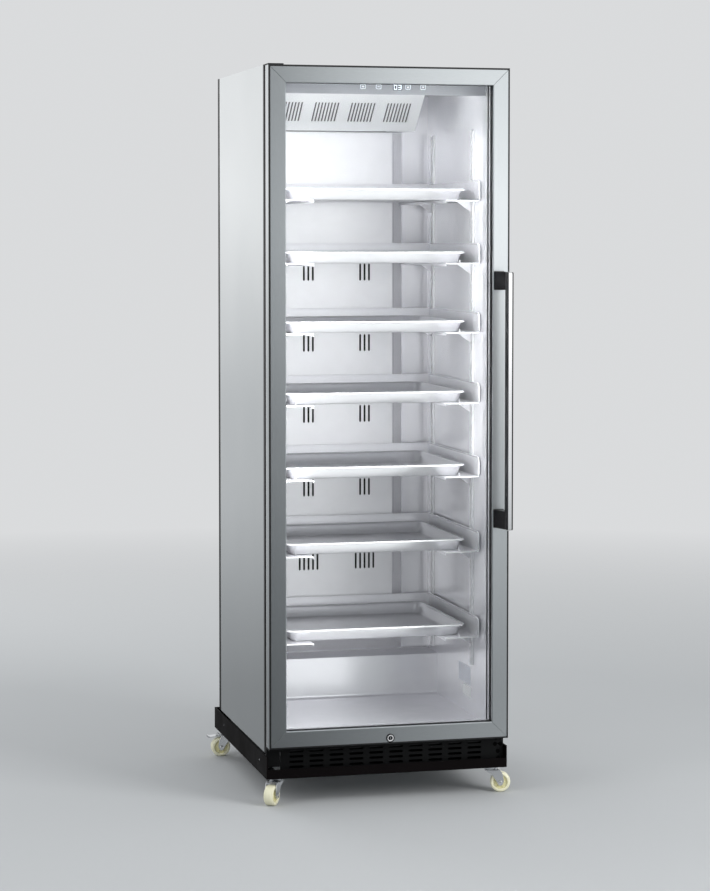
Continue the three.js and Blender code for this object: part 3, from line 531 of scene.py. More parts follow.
def build_door_frame():
    """Four mitred steel members, a black band round their outer front edge that paints the dark reflection of
    the rounded edge, the side strip and the inner lining.
    """
    front, back = DOOR_FRONT, DOOR_BACK
    edge, wall = MEMBER, MEMBER - 1.4
    face = [(4.1, front + 0.4), (edge - 1.6, front + 0.4), (edge, front + 2.0), (edge, GLASS_FRONT - 0.3),
            (wall, GLASS_FRONT - 0.3), (wall, front + 2.8), (4.1, front + 2.8)]
    bead = [(0, front + 4), (0, front + 1.6), (1.6, front), (3.6, front), (4.0, front + 0.5),
            (4.0, front + 3), (2.6, front + 4)]
    strip = [(0.3, front + 4.3), (0.3, back - 4.4), (2.2, back - 4.4), (2.2, front + 4.3)]
    lining = [(0.2, back - 4.1), (0.2, back - 0.6), (0.8, back), (edge - 0.8, back), (edge, back - 0.8),
              (edge, GLASS_BACK + 0.3), (edge - 2, GLASS_BACK + 0.3), (edge - 2, back - 2), (2, back - 2),
              (2, back - 4.1)]
    grain = {"bottom": "x", "top": "x", "left": "z", "right": "z"}
    stood_for = ("door_frame",)
    for side, shape in members(DOOR_RECT, face).items():
        steel = f"door_steel_{grain[side]}"
        piece(f"door_member_{side}", shape, steel, "door", "door_stainless", stood_for, 0.5)
        stood_for = ()
    for side, shape in members(DOOR_RECT, strip, 0.1).items():
        steel = f"door_steel_{grain[side]}"
        piece(f"door_side_strip_{side}", shape, steel, "door", "door_stainless", (), 0.3)
    # A black band along the outer front edge: painted dark reflection of the frame's rounded edge.
    piece("door_edge_dark_band", mitred(DOOR_RECT, bead), "black_plastic", "door", "gasket", (), 0.25)
    piece("door_back_lining", mitred(DOOR_RECT, lining), "liner_steel", "door", "door_stainless", (), 0.4)


def build_glass():
    """Two panes on an aluminium spacer, with the bead that beds the front pane."""
    glass_rect = (GLASS_X0, GLASS_X1, GLASS_Z0, GLASS_Z1)
    for label, y, nodes in (("front", GLASS_FRONT, ("door_glass",)), ("back", GLASS_BACK - PANE, ())):
        shape = block(GLASS_X0, GLASS_X1, y, y + PANE, GLASS_Z0, GLASS_Z1)
        piece(f"glass_pane_{label}", shape, "glass", "door", "glass_unit", nodes, 0.4)
    gap_front, gap_back = GLASS_FRONT + PANE + 0.1, GLASS_BACK - PANE - 0.1
    spacer = [(1.0, gap_front), (6.4, gap_front), (7.6, gap_front + 1.2), (7.6, gap_back - 1.2),
              (6.4, gap_back), (1.0, gap_back)]
    piece("glass_spacer", mitred(glass_rect, spacer), "rubber", "door", "glass_unit", (), 0.2)
    seat, face = GLASS_FRONT - 0.1, GLASS_FRONT - 2.4
    bead = [(MEMBER - 1.2, seat), (MEMBER - 1.2, face), (MEMBER + 0.2, face), (MEMBER + 0.5, seat)]
    piece("glazing_bead", mitred(DOOR_RECT, bead), "rubber", "door", "gasket", (), 0.2)


def build_gasket():
    """A magnetic gasket: dart, bellows and magnet pocket in one black section."""
    x0, x1, front, back, z0, z1 = edges("door_gasket")
    width = 18.0
    left = [(1.8, back), (0.6, back - 0.8), (0, front + 7.4), (2.0, front + 4.6), (6.5, front + 3.0),
            (3, front + 1.6)]
    section = [(3, front), (width - 3, front)] + [(width - x, y) for x, y in left[::-1]] + left
    piece("door_gasket_bellows", mitred((x0, x1, z0, z1), section), "rubber", "door", "gasket",
          ("door_gasket",), 0.3)


def build_handle():
    """A black bar with a bright strip down its front, on two tapered brackets."""
    x0, x1, front, back, z0, z1 = edges("handle_bar")

    def outline(inset):
        y, low, high, radius = front + inset, z0 + inset, z1 - inset, 5.0 - inset
        return (
            [(back, low), (back, high)]
            + arc(y + radius, high - radius, radius, 90, 180, 6)
            + arc(y + radius, low + radius, radius, 180, 270, 6)
        )

    piece("handle_body", prism(outline(0.7), "x", x0, x1), "handle_paint", "door", SLOT_OF["handle_bar"],
          ("handle_bar",), 1.1, 3)
    outer, inner = outline(0.0), outline(2.2)
    places = ((x0 + 0.9, inner), (x0 + 0.5, outer), (x1 - 3.6, outer), (x1 - 3.2, inner))
    strip = [[(x, y, z) for y, z in loop] for x, loop in places]
    piece("handle_front_strip", loft(strip, closed=True), "chrome", "door", SLOT_OF["handle_bar"], (), 0.3)
    for label in ("top", "bottom"):
        node = f"handle_bracket_{label}"
        refined(node, "handle_paint", 1.2, 3)
        left, right, _, far, low, high = edges(node)
        pad = prism(rounded(left - 1.0, right + 1.0, low - 1.0, high + 1.0, 2.5), "y", far - 0.2, far - 1.4)
        piece(f"handle_pad_{label}", pad, "rubber", "door", SLOT_OF[node], (), 0.3)


def build_lock():
    """A black rim round a domed ring in the brighter metal that paints a highlight, a turning plug painted
    black as the dark reflection of its chrome face, and a bright zinc keyway as a painted highlight.
    """
    front, back, z0, z1 = edges("lock_cylinder")[2:]
    center = (0, 0, (z0 + z1) / 2)
    rim = [(8.3, front + 1.4), (8.3, front + 0.5), (8.8, front), (9.5, front + 0.1), (10.4, front + 1.3),
           (10.4, front + 2.1), (9.0, front + 2.1)]
    shape = lathe(rim, center, "y", 40, True)
    piece("lock_rim", shape, "handle_paint", "lock", "lock_chrome", ("lock_cylinder",))
    # The ring is in the brighter metal: painted highlight on its domed crescents.
    ring = [(5.0, front + 4), (5.0, front + 1.6), (5.6, front + 0.7), (6.6, front + 0.3), (7.6, front + 0.6),
            (8.2, front + 1.4), (8.2, front + 4)]
    piece("lock_ring", lathe(ring, center, "y", 40, True), "polished", "lock", "lock_chrome")
    # The plug is painted black: painted dark reflection of a chrome plug.
    plug = [(0, front + 0.5), (4.2, front + 0.5), (4.9, front + 1.1), (4.9, front + 9), (0, front + 9)]
    piece("lock_plug", lathe(plug, center, "y", 40), "handle_paint", "lock", "lock_chrome")
    barrel = [(0, front + 9), (9, front + 3.4), (9, back), (0, back)]
    piece("lock_barrel", lathe(barrel, center, "y", 32), "zinc", "lock", "lock_chrome")
    # The keyway is bright zinc: painted highlight where a real keyway is a dark slot.
    keyway = prism(rounded(-0.8, 0.8, center[2] - 3.6, center[2] + 3.6, 0.7, 3), "y", front + 0.42, front + 2)
    piece("lock_keyway", keyway, "zinc", "lock", "lock_chrome")


# ---------------------------------------------------------------- cabinet
ROOM_HALF, ROOM_FLOOR, ROOM_TOP, ROOM_BACK = 258.0, 170.0, 1748.0, 284.0  # the steel room's inner faces


def build_shell():
    """The panels, base, grille, breaker frame and hinge brackets, and what stays inside them."""
    for label, _ in SIDES:
        refined(f"side_panel_{label}", "side_steel", 1.3, 3)
    refined("top_panel", "top_steel", 1.0, 2)
    refined("rear_panel", "black_paint", 0.7, 2)
    refined("bottom_panel", "galvanised", 0.8, 2)
    refined("front_breaker_frame", "black_plastic", 1.0, 2)
    refined("base_frame", "rail_paint", 0.8, 2)
    refined("front_grille", "black_paint", 0.35, 1)
    # A filter mat behind the grille, coloured near black as painted shade so the grille's slots read as dark
    # openings.
    filter_shade_mat = block(-262, 262, -253, -249, 70.5, 125.4)
    piece("air_filter_and_shade", filter_shade_mat, "painted_shade_black", "cabinet", "black_plastic", (), 0.8)
    front = edges("front_grille")[2]
    # Domes that fill the grille's screw holes, coloured near black as painted shade of open holes.
    dome = [(0, front - 0.9), (3.6, front - 0.8), (5.2, front - 0.3), (5.4, front + 0.4)]
    spots = ((278.5, 122), (292.5, 122), (285.5, 104), (286.0, 87))
    hole_shades = [lathe(dome, (x, 0, z), "y", 28) for x, z in spots]
    piece("grille_hole_shades", joined(*hole_shades), "painted_shade_black", "cabinet", "black_plastic")
    front, back = edges("front_breaker_frame")[2:4]
    mouth = (-ROOM_HALF, ROOM_HALF, ROOM_FLOOR, ROOM_TOP)
    trim = [(-0.6, front - 0.1), (0.35, front - 0.1), (0.35, back + 0.2), (-0.6, back + 0.2)]
    piece("breaker_trim", mitred(mouth, trim), "liner_steel", "cabinet", "liner_stainless")
    for end in ("top", "bottom"):
        refined(f"hinge_bracket_{end}", "black_paint", 0.6, 2)
    dress_cad("foam_insulation", "foam")
    for node in ("evaporator_coil", "condenser"):
        dress_cad(node, "fins")
    for node in ("evaporator_fan", "condenser_fan"):
        refined(node, "black_plastic", 0.4, 2)


def build_liner():
    """The folded steel room: floor, step over the machine space, back, ceiling, walls and front flange."""
    half, floor, top, back = ROOM_HALF, ROOM_FLOOR, ROOM_TOP, ROOM_BACK
    front = edges("inner_liner")[2]
    step_front, step_top, bend, crease = 184.0, 276.0, 7.0, 1.4
    side = (
        [(front, floor)]
        + arc(step_front - bend, floor + bend, bend, -90, 0, 4)
        + arc(step_front + crease, step_top - crease, crease, 180, 90, 3)
        + arc(back - bend, step_top + bend, bend, -90, 0, 4)
        + arc(back - bend, top - bend, bend, 0, 90, 4)
        + [(front, top)]
    )
    count = len(side)
    verts = [(x, y, z) for x in (-half, half) for y, z in side]
    faces = [(i, i + 1, i + 1 + count, i + count) for i in range(count - 1)]
    faces += [tuple(range(count)), tuple(range(2 * count - 1, count - 1, -1))]
    flange = 13.8
    start = len(verts)
    rim = [(-half, floor), (half, floor), (half, top), (-half, top)]
    verts += [(x, front, z) for x, z in rim]
    verts += [(x + math.copysign(flange, x), front, z + (flange if z == top else -flange)) for x, z in rim]
    faces += [(start + i, start + (i + 1) % 4, start + 4 + (i + 1) % 4, start + 4 + i) for i in range(4)]
    obj = piece("liner_room", (verts, faces), "liner_steel", "cabinet", "liner_stainless", ("inner_liner",))
    thick = obj.modifiers.new("sheet", "SOLIDIFY")
    thick.thickness = 1.0 * MM
    thick.offset = -1 if inward(obj) else 1


def inward(obj):
    """True when the floor of the liner faces up into the room."""
    lowest = min(obj.data.polygons, key=lambda face: face.center.z if abs(face.normal.z) > 0.9 else 9)
    return lowest.normal.z > 0


def build_cold_air():
    """The sloped evaporator cover, the duct down the back wall, and their screws."""
    refined("evaporator_cover", "white_sheet", 0.5, 2)
    refined("air_duct", "duct_steel", 0.7, 2)
    x0, x1, front, back, _, z1 = edges("air_duct")
    face, heights = back - 31.2, (345, 800, 1210, 1610)
    heads = [screw_head((x, face, z), "y", -1, 3.0) for x in (-140, 140) for z in heights]
    piece("duct_screws", joined(*heads), "zinc", "cabinet", "liner_stainless")
    # A near-black sheet just behind the duct's slots: painted shade of the cavity behind them.
    shade = block(x0 + 30, x1 - 30, front + 4.6, front + 5.4, 485, z1 - 20)
    piece("duct_shade", shade, "painted_shade_black", "cabinet", "liner_stainless", (), 0.2)
    # A dark grey sheet behind the cover's slots: partly the fan guard, partly painted shade that darkens the
    # slots.
    screen = [(148.3, 1724.6), (206.3, 1674.6), (206.7, 1675.1), (148.7, 1725.1)]
    piece("evaporator_guard_and_shade", prism(screen, "x", -198, 198), "dim_grey", "cabinet", "white_sheet", (), 0.1)
    low, high = edges("evaporator_cover")[4] - 1.1, edges("evaporator_cover")[4] + 0.2
    fold = prism([(222, high), (222, low), (226, low), (226, high)], "x", -204.4, 204.4)
    piece("evaporator_cover_fold", fold, "white_sheet", "cabinet", "white_sheet", (), 0.3)


def build_light():
    """A long frosted lens between two end caps."""
    x0, x1, y0, y1, z0, z1 = edges("led_light")
    mid = (y0 + y1) / 2
    section = [(y0, z1), (y0, z0 + 4)] + arc(mid, z0 + 4, (y1 - y0) / 2, 180, 360, 8)[1:-1]
    section = [(y, max(z, z0)) for y, z in section] + [(y1, z0 + 4), (y1, z1)]
    left, right = x0 + 9, x1 - 9
    lens = prism(section, "x", left, right)
    piece("light_lens", lens, "lens", "cabinet", "light_lens", ("led_light",), 0.4)
    caps = [prism(section, "x", a, b) for a, b in ((x0, left), (right, x1))]
    piece("light_caps", joined(*caps), "white_sheet", "cabinet", "light_lens", (), 0.6)


SEGMENTS = {  # lit bars of each digit: top, upper left, upper right, middle, lower left, lower right, bottom
    "0": "1110111",
    "3": "1011011",
}


def seven_segments(digit, x, z, front):
    """The lit bars of one digit with its lower left corner at x, z."""
    width, height, bar = 8.4, 11.8, 2.0
    mid = z + height / 2
    bars = [
        (x, x + width, z + height - bar, z + height),
        (x, x + bar, mid, z + height),
        (x + width - bar, x + width, mid, z + height),
        (x, x + width, mid - bar / 2, mid + bar / 2),
        (x, x + bar, z, mid),
        (x + width - bar, x + width, z, mid),
        (x, x + width, z, z + bar),
    ]
    lit = [bars[i] for i, on in enumerate(SEGMENTS[digit]) if on == "1"]
    return joined(*[block(a + 0.15, b - 0.15, front, front + 0.4, c + 0.15, d - 0.15) for a, b, c, d in lit])


def build_controls():
    """The grey control strip, its temperature window and four touch keys with outlined icons."""
    front = edges("control_panel")[2]
    refined("control_panel", "strip_grey", 0.7, 2)
    left, right, low, high = 23.0, 47.0, 1731.0, 1746.0
    window = prism(rounded(left, right, low, high, 2.0), "y", front - 0.7, front + 0.2)
    piece("display_window", window, "dim_grey", "cabinet", "control_strip", (), 0.3)
    places = (("0", left + 2.2), ("3", left + 13.0))
    digits = [seven_segments(digit, x, low + 1.6, front - 1.0) for digit, x in places]
    piece("display_digits", joined(*digits), "digit", "cabinet", "light_lens")
    for number in range(1, 5):
        build_key(number)


def build_key(number):
    """A touch key: its cap, and a thin outline round a plus, a dash or an arrow."""
    node, body = f"control_key_{number}", f"key_{number}"
    x0, x1, front, back, z0, z1 = edges(node)
    mid, height = (x0 + x1) / 2, (z0 + z1) / 2
    cap = prism(rounded(x0, x1, z0, z1, 2.4), "y", front, back)
    piece(f"key_cap_{number}", cap, "key_grey", body, "key_caps", (node,), 0.4)
    low, high = front - 0.06, front + 0.14
    outer = rounded(x0 + 0.4, x1 - 0.4, z0 + 0.4, z1 - 0.4, 2.2)
    inner = rounded(x0 + 1.4, x1 - 1.4, z0 + 1.4, z1 - 1.4, 1.3)

    def arrow(up):
        """A triangle that points up for 1 and down for -1."""
        base, tip = height - 1.8 * up, height + 2.4 * up
        return prism([(mid - 2.6, base), (mid + 2.6, base), (mid, tip)], "y", low, high)

    dash = block(mid - 3, mid + 3, low, high, height - 0.5, height + 0.5)
    upright = block(mid - 0.5, mid + 0.5, low, high, height - 3, height + 3)
    icons = {1: [upright, dash], 2: [dash], 3: [arrow(1)], 4: [arrow(-1)]}[number]
    ring = ring_outline(outer, inner, "y", low, front + 0.2)
    piece(f"key_mark_{number}", joined(ring, *icons), "digit", body, "key_caps")


# ---------------------------------------------------------------- inside fittings
STANDARD_WALL, STANDARD_FACE = 257.7, 252.7  # x of a shelf standard's back and of its slotted face
SHELVES = range(1, 8)  # the numbers in the names of the racks and pans


def slotted_channel(side, y0, y1, z0, z1):
    """A standard: a channel open to the wall, with a column of slots down its face."""
    face, sheet = STANDARD_FACE, 1.2
    mid, pitch, slot_half, slot_height = (y0 + y1) / 2, 14.6, 2.2, 8.0
    flange = block(face + sheet * 0.5, STANDARD_WALL, y1 - sheet, y1, z0, z1)
    count = int((z1 - z0) / pitch)
    margin = (z1 - z0 - count * pitch) / 2
    verts, faces = [], []
    levels = [z0]
    for i in range(count):
        low = z0 + margin + i * pitch + (pitch - slot_height) / 2
        levels += [low, low + slot_height]
    levels.append(z1)
    columns = [y0, mid - slot_half, mid + slot_half, y1]
    for x in (face, face + sheet):
        verts += [(x, y, z) for z in levels for y in columns]
    layer = len(levels) * 4
    for row in range(len(levels) - 1):
        for column in range(3):
            a = row * 4 + column
            if column == 1 and row % 2 == 1:
                faces += [
                    (a, a + 4, a + 4 + layer, a + layer),
                    (a + 1, a + 5, a + 5 + layer, a + 1 + layer),
                    (a, a + 1, a + 1 + layer, a + layer),
                    (a + 4, a + 5, a + 5 + layer, a + 4 + layer),
                ]
                continue
            faces += [(a, a + 1, a + 5, a + 4), (a + layer, a + 4 + layer, a + 5 + layer, a + 1 + layer)]
        for a in (row * 4, row * 4 + 3):
            faces.append((a, a + 4, a + 4 + layer, a + layer))
    for row in (0, len(levels) - 1):
        for column in range(3):
            a = row * 4 + column
            faces.append((a, a + 1, a + 1 + layer, a + layer))
    shape = joined(flange, (verts, faces))
    return shape if side > 0 else mirrored(shape)


def build_standards():
    """Four slotted standards, each with a flank in the brighter metal that paints a highlight, a strip of
    painted shade behind its slots, and two screws.
    """

    def strip(side, near, far, *rest):
        return block(*sorted((side * near, side * far)), *rest)

    for label, side in SIDES:
        for end in ("front", "back"):
            node = f"shelf_standard_{end}_{label}"
            y0, y1, z0, z1 = edges(node)[2:]
            shape = slotted_channel(side, y0, y1, z0, z1)
            piece(f"slotted_{end}_{label}", shape, "standard_steel", "cabinet", "standard_steel", (node,))
            # The flank is made brighter than the channel: painted highlight.
            flank = strip(side, STANDARD_FACE, STANDARD_WALL, y0 - 0.1, y0 + 1.4, z0, z1)
            piece(f"standard_flank_{end}_{label}", flank, "polished", "cabinet", "standard_steel", (), 0.2)
            # A near-black strip behind the slots: painted shade of the unlit channel.
            shade = strip(side, 255.2, 255.9, y0 + 1.6, y1 - 1.6, z0 + 2, z1 - 2)
            piece(f"standard_shade_{end}_{label}", shade, "painted_shade_black", "cabinet", "standard_steel", (), 0.1)
            face, mid = side * (STANDARD_FACE - 0.1), (y0 + y1) / 2
            screws = [screw_head((face, mid, z), "x", -side, 3.2) for z in (z0 + 7, z1 - 7)]
            piece(f"standard_screws_{end}_{label}", joined(*screws), "zinc", "cabinet", "standard_steel")


def rack_side():
    """The right side of a pan rack with its ledge top at z = 0, and its folded hems, made in the brighter
    metal that paints a highlight along them.
    """
    half, front, back, ledge, height, corner = 252.0, -216.0, 242.0, 85.0, 50.0, 16.0
    sheet, rim = 1.2, 3.2
    center = (front + corner, height - corner)
    curve, inner_curve = (arc(*center, radius, 90, 180, 8) for radius in (corner, corner - rim))
    upstand = [(back, -sheet), (back, height)] + curve + [(front, 6), (front + 7, -sheet)]
    hem_outer = [(back, height)] + curve + [(front, 6)]
    hem_inner = [(back, height - rim)] + inner_curve + [(front + rim, 7.5)]
    hem = joined(
        prism(hem_outer + hem_inner[::-1], "x", half - 2.6, half - sheet + 0.1),
        block(half - ledge + 1, half - 3, front + 7.4, front + 9.1, -1.8, 0.9),
    )
    root, edge, clip_depth = half - 12, half - ledge, 26
    bend = [(half, -sheet), (half, 3.0), (half - sheet, 3.0)]
    bend += arc(half - sheet - 2.0, 2.0, 2.0, 0, -90, 4)
    bend += [(root, 0), (root, -sheet)]
    floor = [(root, 0), (edge + 2, 0), (edge + 0.6, -0.4), (edge, -1.6), (edge, -7), (edge + sheet, -7),
             (edge + sheet, -sheet), (root, -sheet)]
    tab = prism(rounded(front + 26, front + 36, -0.6, 8, 2.5, 3), "x", half - 44, half - 44 + sheet)
    clip = [(half - 0.6, -0.6), (half - 0.6, -clip_depth), (half - 4, -clip_depth), (half - 36, -3.2),
            (half - 38, -0.6)]
    clips = [prism(clip, "y", y - 1, y + 1) for y in (-138.0, 224.0)]
    body = joined(
        prism(upstand, "x", half - sheet, half),
        prism(bend, "y", front + 9, back),
        prism(floor, "y", front + 9, back),
        tab,
        *clips,
    )
    return body, hem


def build_racks():
    """Seven racks of the same mesh, each with a back flange between its two sides."""
    half, back, sheet = 250.8, 240.8, 1.2
    right, hem = rack_side()
    flange = block(-half, half, back - sheet, back, -0.6, 46)
    top_hem = block(-half, half, back - 2.8, back, 46, 49.5)
    shape = joined(right, mirrored(right), flange, top_hem)
    names = [f"pan_rack_{i}" for i in SHELVES]
    levels = [edges(node)[5] - 50.0 for node in names]
    first = piece("rack_1", shape, "rack_steel", "cabinet", "rack_steel", (names[0],), 0.35)
    first.location.z = levels[0] * MM
    made = [f"rack_{i}" for i in SHELVES[1:]]
    copies(first, made, [(0, 0, z) for z in levels[1:]], "cabinet", names[1:])
    hems = [moved(joined(hem, mirrored(hem)), z=level) for level in levels]
    # The hems are brighter than the rack steel: painted highlight along the edges.
    piece("rack_hems", joined(*hems), "polished", "cabinet", "rack_steel", (), 0.2)


def pan_loop(inset, z, radius):
    """A level loop round a pan, drawn in from the rim's outer edge."""
    half_x, half_y, middle = 228.5 - inset, 205.0 - inset, 24.0
    return [(x, y, z) for x, y in rounded(-half_x, half_x, middle - half_y, middle + half_y, radius, 8)]


def build_pans():
    """Seven shallow pans with sloped walls, a flat rim and a rolled edge; z = 0 is the underside."""
    under = ((26.0, 0.0, 10.0), (18.5, 0.2, 12.0), (15.4, 1.6, 14.0), (8.6, 22.0, 19.0), (7.0, 24.6, 20.5),
             (4.6, 25.2, 22.0), (1.6, 23.8, 23.0))
    roll = (under[-1], (0.2, 24.6, 23.8), (0.0, 26.4, 24.0), (0.8, 28.2, 23.2), (2.6, 29.0, 22.6),
            (5.0, 28.4, 21.6))
    over = (roll[-1], (7.4, 26.6, 20.6), (9.4, 23.6, 19.0), (16.4, 2.8, 14.0), (19.4, 1.3, 12.0),
            (26.0, 1.0, 10.0))
    outside, rim, inside = ([pan_loop(*stop) for stop in stops] for stops in (under, roll, over))
    names = [f"sheet_pan_{i}" for i in SHELVES]
    levels = [edges(node)[4] for node in names]
    tray = joined(loft(outside, caps=(True, False)), loft(inside, caps=(False, True)))
    first = piece("baking_pan_1", tray, "aluminium", "pan_1", "pan_aluminium", (names[0],), 0, 2, 50)
    ring = loft(rim, caps=(False, False))
    # The rim is brighter than the pan's own aluminium: painted highlight along the rolled edge.
    edge = piece("pan_rim_1", ring, "polished", "pan_1", "pan_aluminium", (), 0, 2, 50)
    for obj in (first, edge):
        obj.location.z = levels[0] * MM
    for i in SHELVES[1:]:
        place, body = [(0, 0, levels[i - 1])], f"pan_{i}"
        copies(first, [f"baking_pan_{i}"], place, body, [names[i - 1]])
        copies(edge, [f"pan_rim_{i}"], place, body, [None])


def build_labels():
    """Two blank plates low on the right wall, where such a cabinet carries its rating plate."""
    wall = ROOM_HALF - 0.1
    plates = ((-122, -18, 244, 289, "label"), (-124, -54, 212, 238, "white_sheet"))
    for i, (*rect, material) in enumerate(plates, 1):
        plate = prism(rounded(*rect, 2.0), "x", wall - 0.7, wall)
        piece(f"blank_plate_{i}", plate, material, "cabinet", "white_sheet", (), 0.2)


# ---------------------------------------------------------------- machine space and outside fittings
def build_machine():
    """The compressor's welded shell with its terminal box and feet, and the copper pipes."""
    x0, x1, y0, y1, z0, z1 = edges("compressor")
    cx, cy = (x0 + x1) / 2, (y0 + y1) / 2
    radius, stretch, slant = 52.0, 1.32, (30, 50, 70, 90)
    bowl = [(math.sin(math.radians(t)), 1 - math.cos(math.radians(t))) for t in slant]
    low, seam = z0 + 10, (z0 + 10 + z1) / 2 + 8
    profile = [(0, low)] + [(radius * out, low + 22 * up) for out, up in bowl]
    profile += [(radius, seam - 3), (radius + 2.6, seam - 2), (radius + 2.6, seam + 2), (radius, seam + 3)]
    profile += [(radius * out, z1 - 34 * down) for out, down in bowl[::-1]] + [(0, z1)]
    verts, faces = lathe(profile, (cx, cy, 0), "z", 40)
    verts = [(cx + (x - cx) * stretch, y, z) for x, y, z in verts]
    piece("compressor_shell", (verts, faces), "black_paint", "cabinet", "compressor_paint", ("compressor",))
    plate = prism(rounded(x0, x1, y0 + 4, y1 - 4, 10), "z", z0 + 6, z0 + 9)
    grommet = [(4, z0), (9, z0), (9, z0 + 6), (4, z0 + 6)]
    spots = [(x, y, 0) for x in (x0 + 14, x1 - 14) for y in (y0 + 18, y1 - 18)]
    grommets = [lathe(grommet, spot, "z", 20, True) for spot in spots]
    piece("compressor_plate", plate, "black_paint", "cabinet", "compressor_paint", (), 0.6)
    piece("compressor_grommets", joined(*grommets), "rubber", "cabinet", "compressor_paint")
    box_x = cx - radius * stretch - 6
    terminal = prism(rounded(cy - 22, cy + 22, z0 + 50, z0 + 100, 5), "x", box_x - 4, box_x + 22)
    piece("terminal_box", terminal, "black_plastic", "cabinet", "black_plastic", (), 1.2, 3)
    runs = [
        [(cx - 20, y1 - 18, z1 - 18), (cx - 20, y1 - 2, z1 - 6), (cx - 40, y1 - 1, z1 + 4),
         (cx - 110, y1 - 2, z1 + 6), (-140, y1 - 4, z1 + 4), (-150, y1 - 8, z1 + 2)],
        [(cx + 30, y1 - 20, z1 - 30), (cx + 34, y1 - 4, z1 - 24), (cx + 52, y1 - 2, z1 - 10),
         (cx + 66, y1 - 3, z1 + 8), (cx + 70, y1 - 4, z1 + 20)],
    ]
    for i, run in enumerate(runs, 1):
        piece(f"copper_pipe_{i}", tube(run, 3.0), "copper", "cabinet", "coil_fins", (), 0, 2, 60)
    x0, _, y0, y1, z0, _ = edges("condenser")
    x, mid = x0 - 0.5, (y0 + y1) / 2
    turns = [math.pi * step / 8 for step in range(9)]
    bend = [(x + 0.5 * math.cos(t) - 7 * math.sin(t), mid + 12 * math.cos(t)) for t in turns]
    bends = [tube([(x, y, z0 + 20 + 36 * k) for x, y in bend], 3.2) for k in range(4)]
    piece("condenser_bends", joined(*bends), "copper", "cabinet", "coil_fins", (), 0, 2, 60)


def build_fasteners():
    """The ribbed outer sheet on the back, its screws, and the screws in the base's sides."""
    y = edges("rear_panel")[3]
    low, high, half, rib, sheet, band = 292.0, 1776.0, 290.0, 4.0, 1.0, 45.0
    face = y + sheet
    outline = [(-half, y), (-half, face)]
    for x in (-185, 0, 185):
        outline += [(x - 26, face), (x - 21, y + rib), (x + 21, y + rib), (x + 26, face)]
    outline += [(half, face), (half, y)]
    ribbed = prism(outline, "z", low + band, high - band)
    bands = [block(-half, half, y, face, a, b) for a, b in ((low, low + band), (high - band, high))]
    piece("rear_sheet", joined(ribbed, *bands), "rear_sheet", "cabinet", "black_steel", (), 0.3)
    spots = [(x, face, z) for z in (304, 540, 776, 1012, 1248, 1484, 1764) for x in (-279, 279)]
    spots += [(x, face, z) for x in (-140, 0, 140) for z in (304, 1764)]
    spots += [(x, y, z) for x in (-286, 0, 286) for z in (150, 270)]
    heads = [screw_head(spot, "y", 1, 4.2) for spot in spots]
    piece("rear_screws", joined(*heads), "zinc", "cabinet", "lock_chrome")
    face = edges("base_frame")[1] - 0.9
    bolts = [screw_head((side * face, y, 98), "x", side, 2.6) for side in (-1, 1) for y in (-196.0, 254.0)]
    piece("base_side_screws", joined(*bolts), "zinc", "cabinet", "lock_chrome")


# ---------------------------------------------------------------- casters
# The way each wheel trails, in degrees anticlockwise from +Y.
CASTERS = {"front_left": 144, "front_right": -104, "rear_left": 90, "rear_right": -90}
TRAIL, WHEEL_RADIUS = 25.0, 25.0
CASTER_X, CASTER_YS = 272.0, {"front": -246.0, "rear": 334.0}
LEG_INNER, LEG_OUTER = 13.2, 15.5  # the fork's legs, out from the wheel's middle


def place_caster(shape, corner):
    """A caster shape made at the swivel axis with the wheel along +Y, turned and set at its corner."""
    turn = math.radians(CASTERS[corner])
    cos, sin = math.cos(turn), math.sin(turn)
    end, side = corner.split("_")
    x0, y0 = (-CASTER_X if side == "left" else CASTER_X), CASTER_YS[end]
    verts, faces = shape
    return [(x0 + x * cos - y * sin, y0 + x * sin + y * cos, z) for x, y, z in verts], faces


def hexagon(radius):
    """Corners round the wheel's axle, in the wheel's own plane."""
    turns = [math.radians(60 * k) for k in range(6)]
    return [(TRAIL + radius * math.cos(t), WHEEL_RADIUS + radius * math.sin(t)) for t in turns]


def fork_shape():
    """A pressed fork: crown and two shaped legs."""
    leg = [(-12, 57), (24, 57), (31, 44), (TRAIL + 9, 28), (TRAIL + 5, 18.5), (TRAIL, 16.4),
           (TRAIL - 5, 18.5), (TRAIL - 9, 26), (4, 44), (-10, 52)]
    crown = prism(rounded(-LEG_OUTER, LEG_OUTER, -14, 24, 6), "z", 53.8, 57)
    return joined(prism(leg, "x", -LEG_OUTER, -LEG_INNER), prism(leg, "x", LEG_INNER, LEG_OUTER), crown)


def race_shape():
    """The swivel head: two pressed cups with the ball race between them, under the top washer."""
    profile = [(0, 56.5), (14, 56.5), (16.6, 58.0), (17.0, 60.0), (15.6, 61.2), (15.6, 62.0), (17.0, 63.0),
               (16.8, 65.6), (15.5, 66.6), (0, 66.6)]
    return lathe(profile, (0, 0, 0), "z", 36)


def axle_shape():
    """A hexagon head and a domed nut on the wheel's axle."""
    shapes = []
    for side in (-1, 1):
        shapes.append(prism(hexagon(6.0), "x", *sorted((side * LEG_OUTER, side * 18.0))))
        dome = [(r, side * x) for r, x in ((0, 19.0), (2.4, 18.8), (4.0, 18.2), (4.6, 17.6), (0, 17.0))]
        shapes.append(lathe(dome, (0, TRAIL, WHEEL_RADIUS), "x", 20))
    return joined(*shapes)


